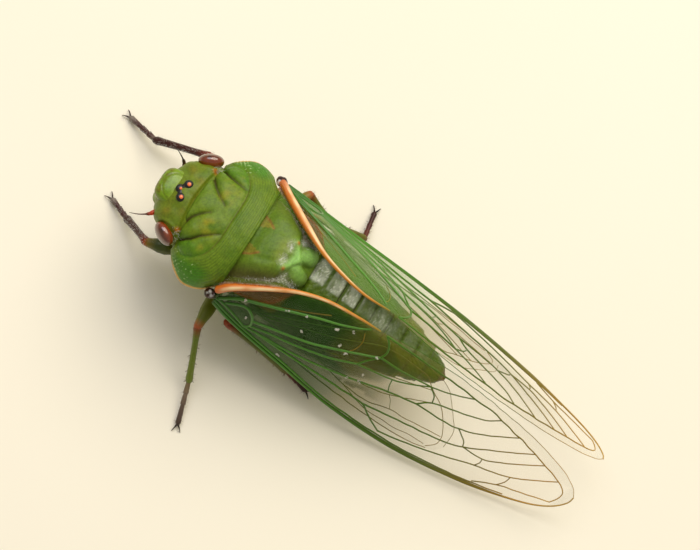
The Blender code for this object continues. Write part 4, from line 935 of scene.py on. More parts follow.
def mesonotum(look):
    """The back between the wings: a dome, the raised cross behind it and two soft pillows."""
    ys = np.arange(-0.8, 9.61, 0.07)
    grid, mid = shell_grid(THORAX, ys, 260, 0.85, THORAX_ARCH)
    grid = under_roof(grid)
    x, y, z = grid[..., 0], grid[..., 1], grid[..., 2]
    ax = np.abs(x)
    top = step_up(z, mid + 0.5, mid + 2.0)
    normal = grid_normals(grid)
    # The raised cross, the pillows between its arms, the hollows round them and a shallow furrow
    arm, _ = near(ax, y, [CROSS, (0.9, 6.0), (1.75, 5.45)])
    lobe = np.hypot((ax - 1.5) / 1.3, (y - 7.65) / 1.35)
    pillow = np.clip(1 - lobe ** 2, 0, 1) ** 0.8
    lift = -0.3 * step_up(y, 5.0, 5.9) * (1 - step_up(ax, 3.0, 4.2)) + 0.4 * hill(arm, 0.5)
    lift += 0.62 * pillow + 0.3 * hill(np.hypot(ax, y - 6.5), 0.65)
    lift -= (0.12 * hill(np.hypot(ax - 2.7, y - 6.1), 0.75)
             + 0.25 * hill(np.hypot(ax - 0.8, y - 5.0), 0.55))
    lift -= 0.3 * hill(np.hypot(ax, (y - 7.9) * 0.6), 0.35) + 0.3 * step_up(y, 8.9, 9.4)
    lift += 0.12 * hill(np.hypot(ax - 3.4, y - 3.0), 1.6) + 0.08 * hill(ax, 0.9) * (1 - step_up(y, 3, 4.6))
    furrow, _ = near(ax, y, [(2.2, 0.6), (2.3, 2.2), (1.7, 3.8)])
    lift -= 0.07 * hill(furrow, 0.35)
    lift += 0.035 * mottle(x, y, z, 1.3, 21) + 0.012 * mottle(x, y, z, 0.4, 22)
    moved = grid + normal * (lift * top)[..., None]
    # The two painted marks on the dome, and where wax lies
    triangle = [(0.85, -0.2), (2.75, 0.3), (1.75, 2.0)]
    edge, _ = near(ax, y, [(2.75, 0.3), (2.35, 1.2), (1.75, 2.0)])
    inside_mark = within(ax, y, triangle)
    fringe, _ = near(ax, y, SCUTUM_FRINGE)
    speckle = 0.35 + 0.9 * step_up(mottle(x, y, z, 0.22, 9), 0.05, 0.6)
    hollows = sum(rise * hill(np.hypot(ax - a, y - b), size) for a, b, size, rise in WAX_HOLLOWS)
    # Teal ridges and pillows, with painted light: the right pillow, which faces the light, is painted
    # stronger.
    ridges_with_painted_light = pillow * np.where(x < 0, 1.0, 0.45) + 0.9 * hill(arm, 0.5) + hill(np.hypot(ax, y - 6.5), 0.8)
    # Painted shade: the flanks are painted darker olive-brown, most on the shaded left side.
    flank_painted_shade = step_up(ax + 0.35 * y, 3.4, 5.4) * (1 - 0.6 * step_up(y, 5.5, 6.5))
    marks = {
        "mark_fill": np.where(inside_mark, 0.6, 0) * top,
        "mark_edge": 0.75 * hill(edge, 0.13) * top * (y > 0.2),
        "teal": np.clip(ridges_with_painted_light, 0, 1) * top,
        "orange": hill(np.hypot(ax - 1.8, y - 5.42), 0.24) * top,
        "yellow": 0.5 * hill(np.hypot(ax - 0.6, y - 4.3), 0.9) * top,
        "wax": np.clip((hollows + 0.8 * hill(fringe, 0.35)) * speckle * top, 0, 1),
        "fringe": 0.5 * hill(fringe, 0.3) * (x < 0) * top,
        "side": np.clip(flank_painted_shade, 0, 1) * np.where(x < 0, 0.25, 0.85) * top,
        "under": 1 - step_up(z, mid - 0.4, mid + 1.0),
        "hair": np.clip(0.8 * hollows + 1.4 * hill(fringe, 0.4), 0, 1) * top,
    }
    points, faces = close_grid(moved)
    made = piece("mesonotum_shell", points, faces, look, padded_marks(marks))
    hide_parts("thorax")
    return made


def abdomen_shell(look):
    """Overlapping rings that taper to the tail, with squares of wax on the right of the middle."""
    start, end, segments = 11.0, 29.8, 8
    length = (end - start) / segments
    ys = [np.arange(8.8, start, 0.1), np.arange(start, end, 0.07), np.arange(end, 30.5, 0.06), [30.5]]
    ys = np.concatenate(ys)
    grid, mid = shell_grid(ABDOMEN, ys, 220, ABDOMEN_BELLY, ABDOMEN_ARCH)
    # Each ring swells to the rear, drops sharply to the next and is a little uneven
    phase = ((ys - start) / length) % 1
    swell = 0.2 * step_up(phase, 0.1, 0.8) - 0.26 * step_up(phase, 0.93, 0.99)
    proud = np.where((ys > start) & (ys < end), swell, 0)
    normal = grid_normals(grid)
    x, y, z = grid[..., 0], grid[..., 1], grid[..., 2]
    rough = 0.04 * mottle(x, y, z, 0.6, 31) + 0.03 * mottle(x, y, z, 0.27, 32)
    grid = grid + normal * (proud[:, None] + rough)[..., None]
    grid = under_roof(grid)
    x, y, z = grid[..., 0], grid[..., 1], grid[..., 2]
    top = step_up(z, mid + 1.5, mid + 3.0)
    # Wax lies in a square on each ring, and in one larger patch in front of the first
    square = (step_up(phase, 0.08, 0.2) * (1 - step_up(phase, 0.82, 0.93)))[:, None]
    right = step_up(-x, -0.7, -0.3) * (1 - step_up(-x, 2.3, 2.8))
    front_square = step_up(y, 8.7, 9.0) * (1 - step_up(y, 10.6, 10.95))
    patches = right * np.where(y < 11, front_square, square) * (1 - step_up(y, 15.6, 16.6) * 0.85)
    line = 0.4 * hill(x + 0.3, 1.1) * (1 - step_up(y, 20, 22)) * step_up(y, 17, 18.5)
    cloudy = 0.5 + 0.3 * mottle(x, y, z, 1.1, 17)
    bright = step_up(mottle(x, y, z, 0.24, 18), 0.35, 0.8)
    marks = {
        "wax": np.clip((patches + line) * (cloudy + 0.6 * bright) * top, 0, 1),
        "seam": (step_up(phase, 0.9, 0.95) * ((ys > start) & (ys < end)))[:, None] * np.ones_like(x),
        "tip": step_up(y, 29.3, 30.3),
        "mid_green": step_up(np.abs(x), 1.2, 3.0) * 0.9,
        "under": 1 - step_up(z, mid - 1.4, mid + 0.2),
    }
    points, faces = close_grid(grid)
    made = piece("abdomen_shell", points, faces, look, padded_marks(marks))
    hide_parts("abdomen")
    return made


# Legs, antennae and beak

def sweep(path, radii, sides, flat=1.0, floor=None):
    """Rings along a path with rounded ends; flat squashes them, and none reaches below the floor."""
    path = np.asarray(path, float)
    radii = np.asarray(radii, float)
    along = np.gradient(path, axis=0)
    along /= np.linalg.norm(along, axis=1, keepdims=True)
    side = np.cross(along[0], (0, 0, 1.0))
    if np.linalg.norm(side) < 1e-3:
        side = np.cross(along[0], (1.0, 0, 0))
    angle = 2 * np.pi * (np.arange(sides) + 0.5) / sides

    def end_ring(k, share, way):
        """A rounded end's ring, part of the way from its tip to the full tube."""
        return k, way * radii[k] * (1 - share) * 0.9, math.sqrt(max(0.02, 1 - (1 - share) ** 2))
    last = len(path) - 1
    places = [end_ring(0, share, -1) for share in ROUND_END]
    places += [(k, 0.0, 1.0) for k in range(len(path))]
    places += [end_ring(last, share, 1) for share in reversed(ROUND_END)]
    rings = []
    for k, shift, size in places:
        side = side - along[k] * np.dot(side, along[k])
        side /= np.linalg.norm(side)
        up = np.cross(side, along[k])
        centre = path[k] + along[k] * shift
        r = radii[k] * size
        rings.append(centre + r * np.cos(angle)[:, None] * side + r * flat * np.sin(angle)[:, None] * up)
    grid = np.array(rings)
    if floor is not None:
        grid[..., 2] = np.maximum(grid[..., 2], floor)
    return grid


def claw(root, heading, spread, length, radius):
    """One hooked claw that curls down to the floor."""
    run = np.array([math.cos(heading + spread), math.sin(heading + spread), 0])
    points = [root, root + run * 0.45 * length + (0, 0, 0.12), root + run * 0.85 * length + (0, 0, -0.05),
              root + run * length + (0, 0, -root[2] + 0.06)]
    path = spline(points, 0.12)
    radii = np.linspace(radius, 0.03, len(path))
    return sweep(path, radii, 8, floor=0.0)


def leg_skin(pair, side, look):
    """Coxa, femur, tibia, three-jointed foot and two claws, as one skin."""
    hip, root, knee, ankle, toe = (np.array(p) for p in LEGS[pair, side])
    coxa, femur, tibia, foot = LEG_RADII[pair]
    parts = []

    def limb(a, b, form, size, tones, sides=20, bow=0.0, floor=None):
        """One joint, with its swellings and its place in the leg's run of tones."""
        share = np.linspace(0, 1, 28)
        path = a + (b - a) * share[:, None]
        path[:, 2] += bow * np.sin(np.pi * share)
        radii = np.interp(share, [s for s, _ in form], [r * size for _, r in form])
        grid = sweep(path, radii, sides, floor=floor)
        tone = np.interp(np.linspace(-0.02, 1.02, len(grid)), [0, 1], tones)
        parts.append((grid, np.repeat(tone[:, None], sides, 1)))

    def spine(points, step, thick, tone, sides, floor=None):
        """A tapered spine on the femur or the tibia."""
        path = spline(points, step)
        grid = sweep(path, np.linspace(*thick, len(path)), sides, floor=floor)
        parts.append((grid, np.full(grid.shape[:2], tone)))

    limb(hip, root, COXA_FORM, coxa, (0.02, 0.1))
    limb(root, knee, FEMUR_FORM, femur, (0.12, 0.4), bow=0.12)
    limb(knee, ankle, TIBIA_FORM, tibia, (0.42, 0.7), bow=0.18)
    cuts = [ankle, ankle + (toe - ankle) * 0.3, ankle + (toe - ankle) * 0.56, toe]
    for k in range(3):
        limb(cuts[k], cuts[k + 1], FOOT_FORM, foot, (0.74 + 0.08 * k, 0.8 + 0.08 * k), 14, floor=0.0)
    heading = math.atan2(toe[1] - ankle[1], toe[0] - ankle[0])
    for spread in (-0.5, 0.5):
        grid = claw(np.array([toe[0], toe[1], max(toe[2] - 0.1, 0.2)]), heading, spread, 1.15, 0.15)
        parts.append((grid, np.full(grid.shape[:2], 1.0)))
    if pair == "fore":
        for share in FEMUR_SPINES:
            base = root + (knee - root) * share
            out = np.array([0.25 * side, -0.35, -0.85])
            spine([base, base + out * femur * 1.05, base + out * femur * 1.5], 0.15, (0.28, 0.05), 0.62, 8)
    else:
        across = np.cross(knee - ankle, (0, 0, 1.0))
        across /= np.linalg.norm(across)
        for k, share in enumerate(TIBIA_SPURS):
            base = knee + (ankle - knee) * share
            way = across * (-1) ** k * 0.8 + (ankle - knee) / np.linalg.norm(ankle - knee) * 0.6
            spine([base, base + way * 0.45, base + way * 0.8], 0.1, (0.1, 0.03), 0.72, 6, floor=0.0)
    shapes, tones = [], []
    for grid, tone in parts:
        shapes.append(close_grid(grid))
        tones.append(np.append(tone.ravel(), [tone.ravel()[0], tone.ravel()[-1]]))
    points, faces = merged(shapes)
    tone = np.concatenate(tones)
    marks = {"tone": tone, "hair": step_up(tone, 0.3, 0.45)}
    tag = pair + "_" + SIDE_NAMES[side]
    made = piece("leg_" + tag, points, faces, look, marks)
    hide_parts("coxa_" + tag, "femur_" + tag, "tibia_" + tag, "tarsus_" + tag)
    return made


def toned_tube(name, route, step, form, sides, look):
    """A tapering tube along a route, with a mark that runs from 0 at its root to 1 at its tip."""
    path = spline(route, step)
    share = np.linspace(0, 1, len(path))
    grid = sweep(path, np.interp(share, [s for s, _ in form], [r for _, r in form]), sides)
    points, faces = close_grid(grid)
    tone = np.append(np.repeat(np.linspace(0, 1, len(grid))[:, None], sides, 1).ravel(), [0, 1])
    return piece(name, points, faces, look, {"tone": tone})


def antenna(side, look):
    """Short thick scape and pedicel, then a fine bristle."""
    made = toned_tube("antenna_bristle_" + SIDE_NAMES[side], ANTENNAE[side], 0.12, ANTENNA_FORM, 12, look)
    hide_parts("antenna_" + SIDE_NAMES[side])
    return made


def beak(look):
    """The jointed piercing beak that lies back between the legs."""
    made = toned_tube("beak", ROSTRUM, 0.2, BEAK_FORM, 20, look)
    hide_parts("rostrum")
    return made


# Wings

def plan_sheet(outline, step, seed):
    """Points and triangles that fill a flat outline evenly."""
    loop = spline(list(outline) + [outline[0]], step)[:-1]
    rng = np.random.default_rng(seed)
    low, high = loop.min(0), loop.max(0)
    gx, gy = np.meshgrid(np.arange(low[0], high[0], step), np.arange(low[1], high[1], step))
    gx[::2] += step / 2
    px = gx.ravel() + rng.uniform(-0.08, 0.08, gx.size) * step
    py = gy.ravel() + rng.uniform(-0.08, 0.08, gx.size) * step
    far, _ = near(px, py, np.vstack([loop, loop[:1]]))
    keep = within(px, py, [tuple(p) for p in loop]) & (far > 0.45 * step)
    points = [Vector(p) for p in loop] + [Vector((float(a), float(b))) for a, b in zip(px[keep], py[keep])]
    edges = [(i, (i + 1) % len(loop)) for i in range(len(loop))]
    flat, _, tris, *_ = delaunay_2d_cdt(points, edges, [], 0, 1e-4)
    flat = np.array([tuple(p) for p in flat])
    middle = np.array([flat[list(t)].mean(0) for t in tris])
    good = within(middle[:, 0], middle[:, 1], [tuple(p) for p in loop])
    return flat, [tuple(t) for t, ok in zip(tris, good) if ok]


def sheet_piece(name, outline, side, inset, thick, step, look, relief=None, marks=None, seed=1):
    """A thin closed sheet on the wing's surface."""
    flat, tris = plan_sheet(outline, step, seed)
    lift = np.full(len(flat), -float(inset))
    if relief is not None:
        lift = lift + relief(flat[:, 0], flat[:, 1])
    outer = wing_place(flat[:, 0], flat[:, 1], side, lift + thick / 2)
    inner = wing_place(flat[:, 0], flat[:, 1], side, lift - thick / 2)
    count = len(flat)
    faces, rim = [], {}
    for a, b, c in tris:
        faces += [(a, b, c), (c + count, b + count, a + count)]
        for edge in ((a, b), (b, c), (c, a)):
            rim[edge] = 1
    for a, b in rim:
        if (b, a) not in rim:
            faces.append((b, a, a + count, b + count))
    painted = {}
    for key, rule in (marks or {}).items():
        painted[key] = np.tile(np.clip(rule(flat[:, 0], flat[:, 1]), 0, 1), 2)
    return piece(name, np.vstack([outer, inner]), faces, look, painted)


def vein_paths(veins, side, inset):
    """An edge mesh of all vein paths with each point's radius and place along the wing."""
    points, edges, radii, hues = [], [], [], []
    for first, last, route in veins:
        path = spline(route, 0.45)
        share = np.linspace(0, 1, len(path))
        wave = 0.07 * mottle(path[:, 0], path[:, 1], 0 * share, 2.0, 43) * np.sin(np.pi * share) ** 0.5
        path[:, 1] += wave * step_up(path[:, 0], 14, 24) * (first is not COSTA_RADII)
        place = wing_place(path[:, 0], path[:, 1], side, -inset)
        base = len(points)
        points += (place * MM + np.array(SHIFT)).tolist()
        if first is COSTA_RADII:
            radii += np.interp(path[:, 0], *first).tolist()
        else:
            slim = np.interp(path[:, 0], *VEIN_SLIMMING)
            thinner = HIND_VEIN_SLIMMING if inset else 1.0
            radii += ((first + (last - first) * share) * slim * thinner).tolist()
        hues += (path[:, 0] / WING_LENGTH).tolist()
        edges += [(base + k, base + k + 1) for k in range(len(path) - 1)]
    mesh = bpy.data.meshes.new("vein_paths")
    mesh.from_pydata(points, edges, [])
    for key, values in (("radius", radii), ("hue", hues)):
        layer = mesh.attributes.new(key, "FLOAT", "POINT")
        layer.data.foreach_set("value", np.array(values, np.float32))
    return mesh


def billow(veins, depth):
    """The rule by which each cell's membrane swells a little between its veins."""
    paths = [spline(route, 1.0) for _, _, route in veins]

    def rule(u, v):
        """How far the film lies off the wing's surface."""
        best = np.full(np.shape(u), 1e9)
        for path in paths:
            best = np.minimum(best, near(u, v, path)[0])
        return depth * (1 - hill(best, 0.9)) * (0.6 + 0.5 * mottle(u, v, 0 * u, 3.0, 41))
    return rule


def forewing(side, looks):
    """Clear film, stained green towards the root with painted shade in the stain, and its raised veins."""
    tag = SIDE_NAMES[side]
    outline = FORE_COSTA + FORE_TIP + FORE_HIND[:8] + CLAVUS_VEIN[side][::-1] + [(0.6, 0.2)]
    routes = list(FORE_VEINS.values()) + [MARGIN_VEIN]
    last_vein = np.array(FORE_VEINS["ambient"][2][:11])
    reach, full_from = ROOT_STAIN_AND_SHADE[side]

    def outer_margin(u, v):
        """The narrow border outside the last vein."""
        away = np.interp(u, last_vein[:, 0], last_vein[:, 1])
        return np.where((v < away) & (u > 21), 0.6, 0) + step_up(u, 52.2, 53)

    def root_stain_and_shade(u, v):
        """The green stain, partly painted shade under the wing: it thins along the wing and over the red
        fold.
        """
        over_red = (1 - step_up(u, 6.5, 9)) * (1 - step_up(v, -3.0, -1.8))
        across = 0.45 + 0.55 * step_up(v, full_from, full_from + 3.0)
        return (1 - step_up(u, *reach)) * across * (1 - 0.8 * over_red)
    sheet = sheet_piece("forewing_membrane_" + tag, outline, side, 0, MEMBRANE, 0.55, looks["membrane", side],
                        billow(routes, 0.16), {"margin": outer_margin, "stain": root_stain_and_shade})
    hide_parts("forewing_" + tag)
    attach(sheet, "root")
    veins = grown("forewing_veins_" + tag, vein_paths(routes, side, 0), VEIN_TREE,
                  {"Thickness": MM, "Sides": 10, "Finish": looks["veins"]})
    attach(veins, "root")


def clavus(side, look):
    """The thick orange vein along the wing's inner edge, with marks for its red streak and a painted cream
    highlight along its crest.
    """
    route = spline([(*p, r) for p, r in zip(CLAVUS_VEIN[side], CLAVUS_RADII[side])], 0.3)
    grid = sweep(wing_place(route[:, 0], route[:, 1], side, 0.1), route[:, 2], 20)
    points, faces = close_grid(grid)
    share = np.repeat(np.linspace(0, 1, len(grid))[:, None], 20, 1)
    out = grid - grid.mean(1, keepdims=True)
    out /= np.linalg.norm(out, axis=-1, keepdims=True) + 1e-9
    inner = step_up(out @ np.array([-0.85 * side, 0, 0.5]), 0.55, 0.85)
    # Painted highlight: cream on the side of the tube that faces up and outwards.
    crest = step_up(out @ np.array([0.5 * side, 0, 0.85]), 0.78, 0.96)
    broken = 0.75 + 0.4 * mottle(grid[..., 0], grid[..., 1], grid[..., 2], 1.5, 63)
    crest = crest * broken * step_up(share, 0.03, 0.12) * (1 - step_up(share, 0.6, 0.9))
    marks = {"tone": share, "streak": inner * (1 - step_up(share, 0.3, 0.5)), "crest": np.clip(crest, 0, 1)}
    made = piece("clavus_vein_" + SIDE_NAMES[side], points, faces, look, padded_marks(marks))
    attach(made, "root")


def hindwing(side, looks):
    """The folded wing under the forewing: film with a stained inner lobe, partly painted shade, and its finer
    veins.
    """
    tag = SIDE_NAMES[side]
    routes = list(HIND_VEINS.values())

    def lobe_stain_and_shade(u, v):
        """The green stain of the folded inner lobe, partly painted shade, which fades at its rim and along
        the wing.
        """
        edge, _ = near(u, v, FOLDED_LOBE + FOLDED_LOBE[:1])
        return (1 - step_up(u, *LOBE_STAIN_AND_SHADE[side])) * step_up(edge, 0.0, 1.4) * (v < 3.5)
    sheet = sheet_piece("hindwing_membrane_" + tag, HIND_EDGE, side, HIND_INSET, MEMBRANE, 0.5,
                        looks["membrane", side], billow(routes, 0.14), {"stain": lobe_stain_and_shade}, seed=2)
    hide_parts("hindwing_" + tag)
    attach(sheet, "root")
    veins = grown("hindwing_veins_" + tag, vein_paths(routes, side, HIND_INSET), VEIN_TREE,
                  {"Thickness": MM, "Sides": 8, "Finish": looks["hind_veins"]})
    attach(veins, "root")


def wing_folds(side, looks):
    """Red fold patch, golden fold lines, the narrow cell along the costa and the green cell at the root."""
    tag = SIDE_NAMES[side]

    def rim(u, v):
        """The redder front rim of the fold patch."""
        return hill(near(u, v, RED_PATCH[side][:6])[0], 0.26)
    patch = sheet_piece("red_fold_" + tag, RED_PATCH[side], side, 0.12, MEMBRANE, 0.3, looks["red_fold"],
                        marks={"rim": rim}, seed=3)
    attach(patch, "root")
    lines = grown("hindwing_fold_lines_" + tag, vein_paths(FOLD_LINES, side, HIND_INSET - 0.1), VEIN_TREE,
                  {"Thickness": MM, "Sides": 8, "Finish": looks["fold_lines"]})
    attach(lines, "root")
    fold = sheet_piece("costal_fold_" + tag, COSTAL_FOLD, side, 0.05, MEMBRANE, 0.35, looks["costal_fold"],
                       seed=5)
    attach(fold, "root")
    cell = sheet_piece("basal_cell_" + tag, GREEN_CELL, side, 0.02, 0.12, 0.3, looks["basal_cell"], seed=4)
    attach(cell, "root")


def wing_hinge(side, look):
    """The dark ball at the wing's root, dented a little and dusted with wax on its upper inner side."""
    centre = np.array(HINGE_BALL) * (side, 1, 1)
    points, faces = ball_grid(centre, (0.66, 0.74, 0.72), 0, 44, 30)
    dent = mottle(points[:, 0], points[:, 1], points[:, 2], 0.5, 51)
    points = points + (points - centre) * 0.06 * dent[:, None]
    inward = (HINGE_BALL[0] - np.abs(points[:, 0])) * (1.0 if side == RIGHT else -0.2)
    wax = np.clip(step_up(points[:, 2] - HINGE_BALL[2] + 0.7 * inward + 0.2 * dent, 0.5, 0.85), 0, 1)
    wax = wax * (1 if side == RIGHT else 0.45)
    made = piece("wing_hinge_" + SIDE_NAMES[side], points, faces, look, {"wax": wax, "hair": wax})
    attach(made, "root")
    return made


def back_height(x, y):
    """Height of the mesonotum's plain arch at a place in the plan."""
    rows = at_stations(THORAX, y)
    share = np.clip(np.abs(x) / rows[:, 1], 0, 0.98)
    return rows[:, 2] + (rows[:, 3] - rows[:, 2]) * (1 - share ** THORAX_ARCH) ** (1 / THORAX_ARCH)


def wing_root_web(side, look):
    """Soft hairy skin that joins the wing's root to the side of the back."""
    outer = spline([tuple(wing_place(u, v + 0.1, side, -0.2)) for u, v in CLAVUS_VEIN[side][:5]], 0.35)
    inner = np.array(WEB_FOOT)
    height = back_height(inner[:, 0], inner[:, 1]) - 0.3
    inner = spline(np.column_stack([inner[:, 0] * side, inner[:, 1], height]), 0.3)
    count, across = 30, 10
    rows = []
    for edge in (outer, inner):
        picks = np.linspace(0, len(edge) - 1, count)
        rows.append(np.stack([np.interp(picks, np.arange(len(edge)), edge[:, k]) for k in range(3)], -1))
    share = np.linspace(0, 1, across)[None, :, None]
    sheet = rows[0][:, None] * (1 - share) + rows[1][:, None] * share
    sheet[..., 2] += 0.1 * np.sin(np.pi * share[..., 0])
    sheet += 0.05 * mottle(sheet[..., 0], sheet[..., 1], sheet[..., 2], 0.7, 61)[..., None] * (0, 0, 1)
    rings = np.concatenate([sheet, sheet[:, ::-1] - (0, 0, 0.1)], 1)
    x, y, z = rings[..., 0], rings[..., 1], rings[..., 2]
    speckle = step_up(mottle(x, y, z, 0.25, 62), 0.0, 0.6)
    near_vein = step_up(1 - np.concatenate([share[0, :, 0], share[0, ::-1, 0]])[None], 0.45, 0.95)
    marks = {
        "wax": np.clip(0.9 * speckle * near_vein, 0, 1),
        # Painted shade: the left web is painted darker with the back's side colour.
        "side": 0 * x + (0.7 if side == LEFT else 0.0),
        "fringe": 0.9 * near_vein + 0 * x,
        "hair": 0.12 + 0.88 * near_vein + 0 * x,
    }
    points, faces = close_grid(rings)
    made = piece("wing_root_web_" + SIDE_NAMES[side], points, faces, look, padded_marks(marks))
    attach(made, "root")
    return made


def lint_flecks(look):
    """Small crumbs of lint and wax lying on the left wing."""
    rng = np.random.default_rng(77)
    parts = []
    for u, v in LINT:
        place = wing_place(u, v, LEFT, 0.16)
        for _ in range(3):
            centre = place + rng.normal(0, 0.1, 3)
            radii = rng.uniform(0.06, 0.17, 3)
            pts, fcs = ball_grid(centre, radii, rng.uniform(0, 3), 10, 6)
            pts = pts + rng.normal(0, 0.015, pts.shape)
            parts.append((pts, fcs))
    points, faces = merged(parts)
    made = piece("lint_flecks", points, faces, look)
    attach(made, "root")


def belly_height(x, y):
    """Height of the abdomen's underside at places in the plan."""
    rows = at_stations(ABDOMEN, y)
    share = np.clip(np.abs(x) / (rows[:, 1] * ABDOMEN_BELLY), 0, 0.99)
    return rows[:, 2] - (rows[:, 2] - rows[:, 4]) * (1 - share ** ABDOMEN_ARCH) ** (1 / ABDOMEN_ARCH)


def operculum(side, look):
    """A rounded plate that covers the drum opening from below and follows the belly."""
    rim, rings = 64, []
    angle = 2 * np.pi * np.arange(rim) / rim
    for drop, share in ((0.25, 0.05), (0.25, 0.5), (0.25, 0.93), (0.32, 0.98), (0.55, 1.0), (0.72, 0.97),
                        (0.84, 0.9),
                        (0.9, 0.75), (0.95, 0.5), (0.97, 0.05)):
        x, y = 3.0 + 2.45 * share * np.cos(angle), 10.3 + 2.55 * share * np.sin(angle)
        rings.append(np.stack([x * side, y, belly_height(x, y) - drop], -1))
    points, faces = close_grid(np.array(rings))
    made = piece("operculum_plate_" + SIDE_NAMES[side], points, faces, look)
    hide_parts("operculum_" + SIDE_NAMES[side])
    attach(made, "root")


# Camera, floor and light

# The photo's camera: what it looks at and from how far, in millimetres, its turn, and its focal length in
# pixels of a picture that is FRAME_WIDTH pixels wide
TARGET = np.array([-3.0, 13.05, 15.6])
TILT, LEAN, ROLL = math.radians(13.26), math.radians(4.86), math.radians(-56.64)
DISTANCE, FOCAL_PX = 300.0, 2460.0
FRAME_WIDTH = 700


def make_camera():
    """The photo's camera, above the back and turned; returns its right, up and back directions."""
    back = np.array([math.sin(TILT) * math.cos(LEAN), -math.sin(LEAN), math.cos(TILT) * math.cos(LEAN)])
    x0 = np.cross((0, -1.0, 0), back)
    x0 /= np.linalg.norm(x0)
    y0 = np.cross(back, x0)
    right = math.cos(ROLL) * x0 + math.sin(ROLL) * y0
    up = -math.sin(ROLL) * x0 + math.cos(ROLL) * y0
    place = (TARGET + DISTANCE * back) * MM + np.array(SHIFT)
    data = bpy.data.cameras.new("camera")
    data.sensor_width = 36.0
    data.lens = 36.0 * FOCAL_PX / FRAME_WIDTH
    data.clip_start, data.clip_end = 0.01, 10
    made = bpy.data.objects.new("camera", data)
    turn = Matrix((right, up, back)).transposed()
    made.matrix_world = Matrix.Translation(Vector(place)) @ turn.to_4x4()
    bpy.context.scene.collection.objects.link(made)
    bpy.context.scene.camera = made
    return Vector(right), Vector(up), Vector(back)


def make_floor(look):
    """The studio board that the animal stands on."""
    mesh = bpy.data.meshes.new("floor")
    corners = [(x * BOARD_REACH, y * BOARD_REACH, 0) for x, y in ((-1, -1), (1, -1), (1, 1), (-1, 1))]
    mesh.from_pydata(corners, [], [(0, 1, 2, 3)])
    mesh.materials.append(look)
    made = bpy.data.objects.new("floor", mesh)
    bpy.context.scene.collection.objects.link(made)


def area_light(name, place, aim, size, power, colour):
    """A round soft panel at a place, turned towards a point."""
    data = bpy.data.lights.new(name, "AREA")
    data.shape = "DISK"
    data.size = size
    data.energy = power
    data.color = linear(colour)[:3]
    made = bpy.data.objects.new(name, data)
    made.location = place
    made.rotation_mode = "QUATERNION"
    made.rotation_quaternion = (Vector(place) - Vector(aim)).to_track_quat("Z", "Y")
    bpy.context.scene.collection.objects.link(made)


def light_scene(right, up, back):
    """Soft studio light: a warm key panel, a cooler one overhead and a pale surrounding."""
    world = bpy.data.worlds.new("soft_studio")
    bpy.context.scene.world = world
    world.use_nodes = True
    shade = world.node_tree.nodes["Background"]
    shade.inputs[0].default_value = linear("#FFF8E4")
    shade.inputs[1].default_value = 0.33
    middle = Vector((0, 0, 0.01))
    area_light("key", middle + up * 0.36 + right * 0.3 + back * 0.42, middle, 0.56, 2.9, "#FFF6E2")
    area_light("sky_panel", middle + up * 0.38 - right * 0.02 + back * 0.5, middle, 0.42, 1.3, "#F6F4FF")
    bpy.context.scene.view_settings.view_transform = "Standard"


# Finishes, each named for what its surface is

def membrane_film(name, tint, stain, alpha, most):
    """Clear chitin film: thin, glossy and faintly golden; the alpha is what its tint holds back.

    Towards the wing's root the film is stained green by the blood in its veins and holds back more; the stain
    is also painted shade under the wing, darker on the shaded left wing.
    The narrow border outside the last vein is milkier, which shows as a pale band.
    """
    made, tree, shader = new_material(name)
    coords = (add(tree, "ShaderNodeTexCoord"), "Object")
    cloud = add(tree, "ShaderNodeTexNoise", Vector=coords, Scale=per_metre(1.2), Detail=3.0)
    root = add(tree, "ShaderNodeAttribute", mark("stain"))
    border = add(tree, "ShaderNodeAttribute", mark("margin"))
    green = add(tree, "ShaderNodeMix", MIX, i0=(cloud, 0), i6=stain[0], i7=stain[1])
    reach = add(tree, "ShaderNodeMapRange", i0=(root, "Fac"), i1=0.0, i2=0.25)
    colour = add(tree, "ShaderNodeMix", MIX, i0=(reach, 0), i6=tint, i7=(green, 2))
    pale = add(tree, "ShaderNodeMix", MIX, i0=(border, "Fac"), i6=(colour, 2), i7="#C8BC98")
    tree.links.new(pale.outputs[2], shader.inputs["Base Color"])
    held = add(tree, "ShaderNodeMapRange", i0=(border, "Fac"), i1=0.0, i2=1.0, i3=alpha, i4=0.09)
    stained = add(tree, "ShaderNodeMath", {"operation": "MULTIPLY_ADD"}, i0=(root, "Fac"), i1=most,
                  i2=(held, 0))
    tree.links.new(stained.outputs[0], shader.inputs["Alpha"])
    shader.inputs["Roughness"].default_value = 0.3
    shader.inputs["IOR"].default_value = 1.4
    shader.inputs["Specular IOR Level"].default_value = 0.3
    ripple = add(tree, "ShaderNodeTexNoise", Vector=coords, Scale=per_metre(0.9), Detail=0.0)
    bump = add(tree, "ShaderNodeBump", Strength=0.05, Distance=0.00003, Height=(ripple, 0))
    tree.links.new(bump.outputs[0], shader.inputs["Normal"])
    made.surface_render_method = "BLENDED"
    return made


def toned(name, attribute, stops, gloss=0.38, coat=0.0, relief=0.3, grain_mm=0.1):
    """Tanned cuticle whose colour follows a mark along the piece: satin, its grain drawn coarser."""
    made, tree, shader = new_material(name)
    coords = (add(tree, "ShaderNodeTexCoord"), "Object")
    fine = add(tree, "ShaderNodeTexNoise", Vector=coords, Scale=per_metre(grain_mm), Detail=3.0,
               Roughness=0.6)
    where = add(tree, "ShaderNodeAttribute", mark(attribute))
    along = add(tree, "ShaderNodeMath", {"operation": "MULTIPLY_ADD"}, i0=(fine, 0), i1=0.05,
                i2=(where, "Fac"))
    less = add(tree, "ShaderNodeMath", {"operation": "SUBTRACT"}, i0=(along, 0), i1=0.025)
    colour = add(tree, "ShaderNodeValToRGB", Fac=(less, 0))
    set_stops(colour, stops)
    tree.links.new(colour.outputs[0], shader.inputs["Base Color"])
    bump = add(tree, "ShaderNodeBump", Strength=relief, Distance=0.00005, Height=(fine, 0))
    tree.links.new(bump.outputs[0], shader.inputs["Normal"])
    shader.inputs["Roughness"].default_value = gloss
    shader.inputs["IOR"].default_value = 1.42
    shader.inputs["Coat Weight"].default_value = coat
    shader.inputs["Coat Roughness"].default_value = 0.12
    return made


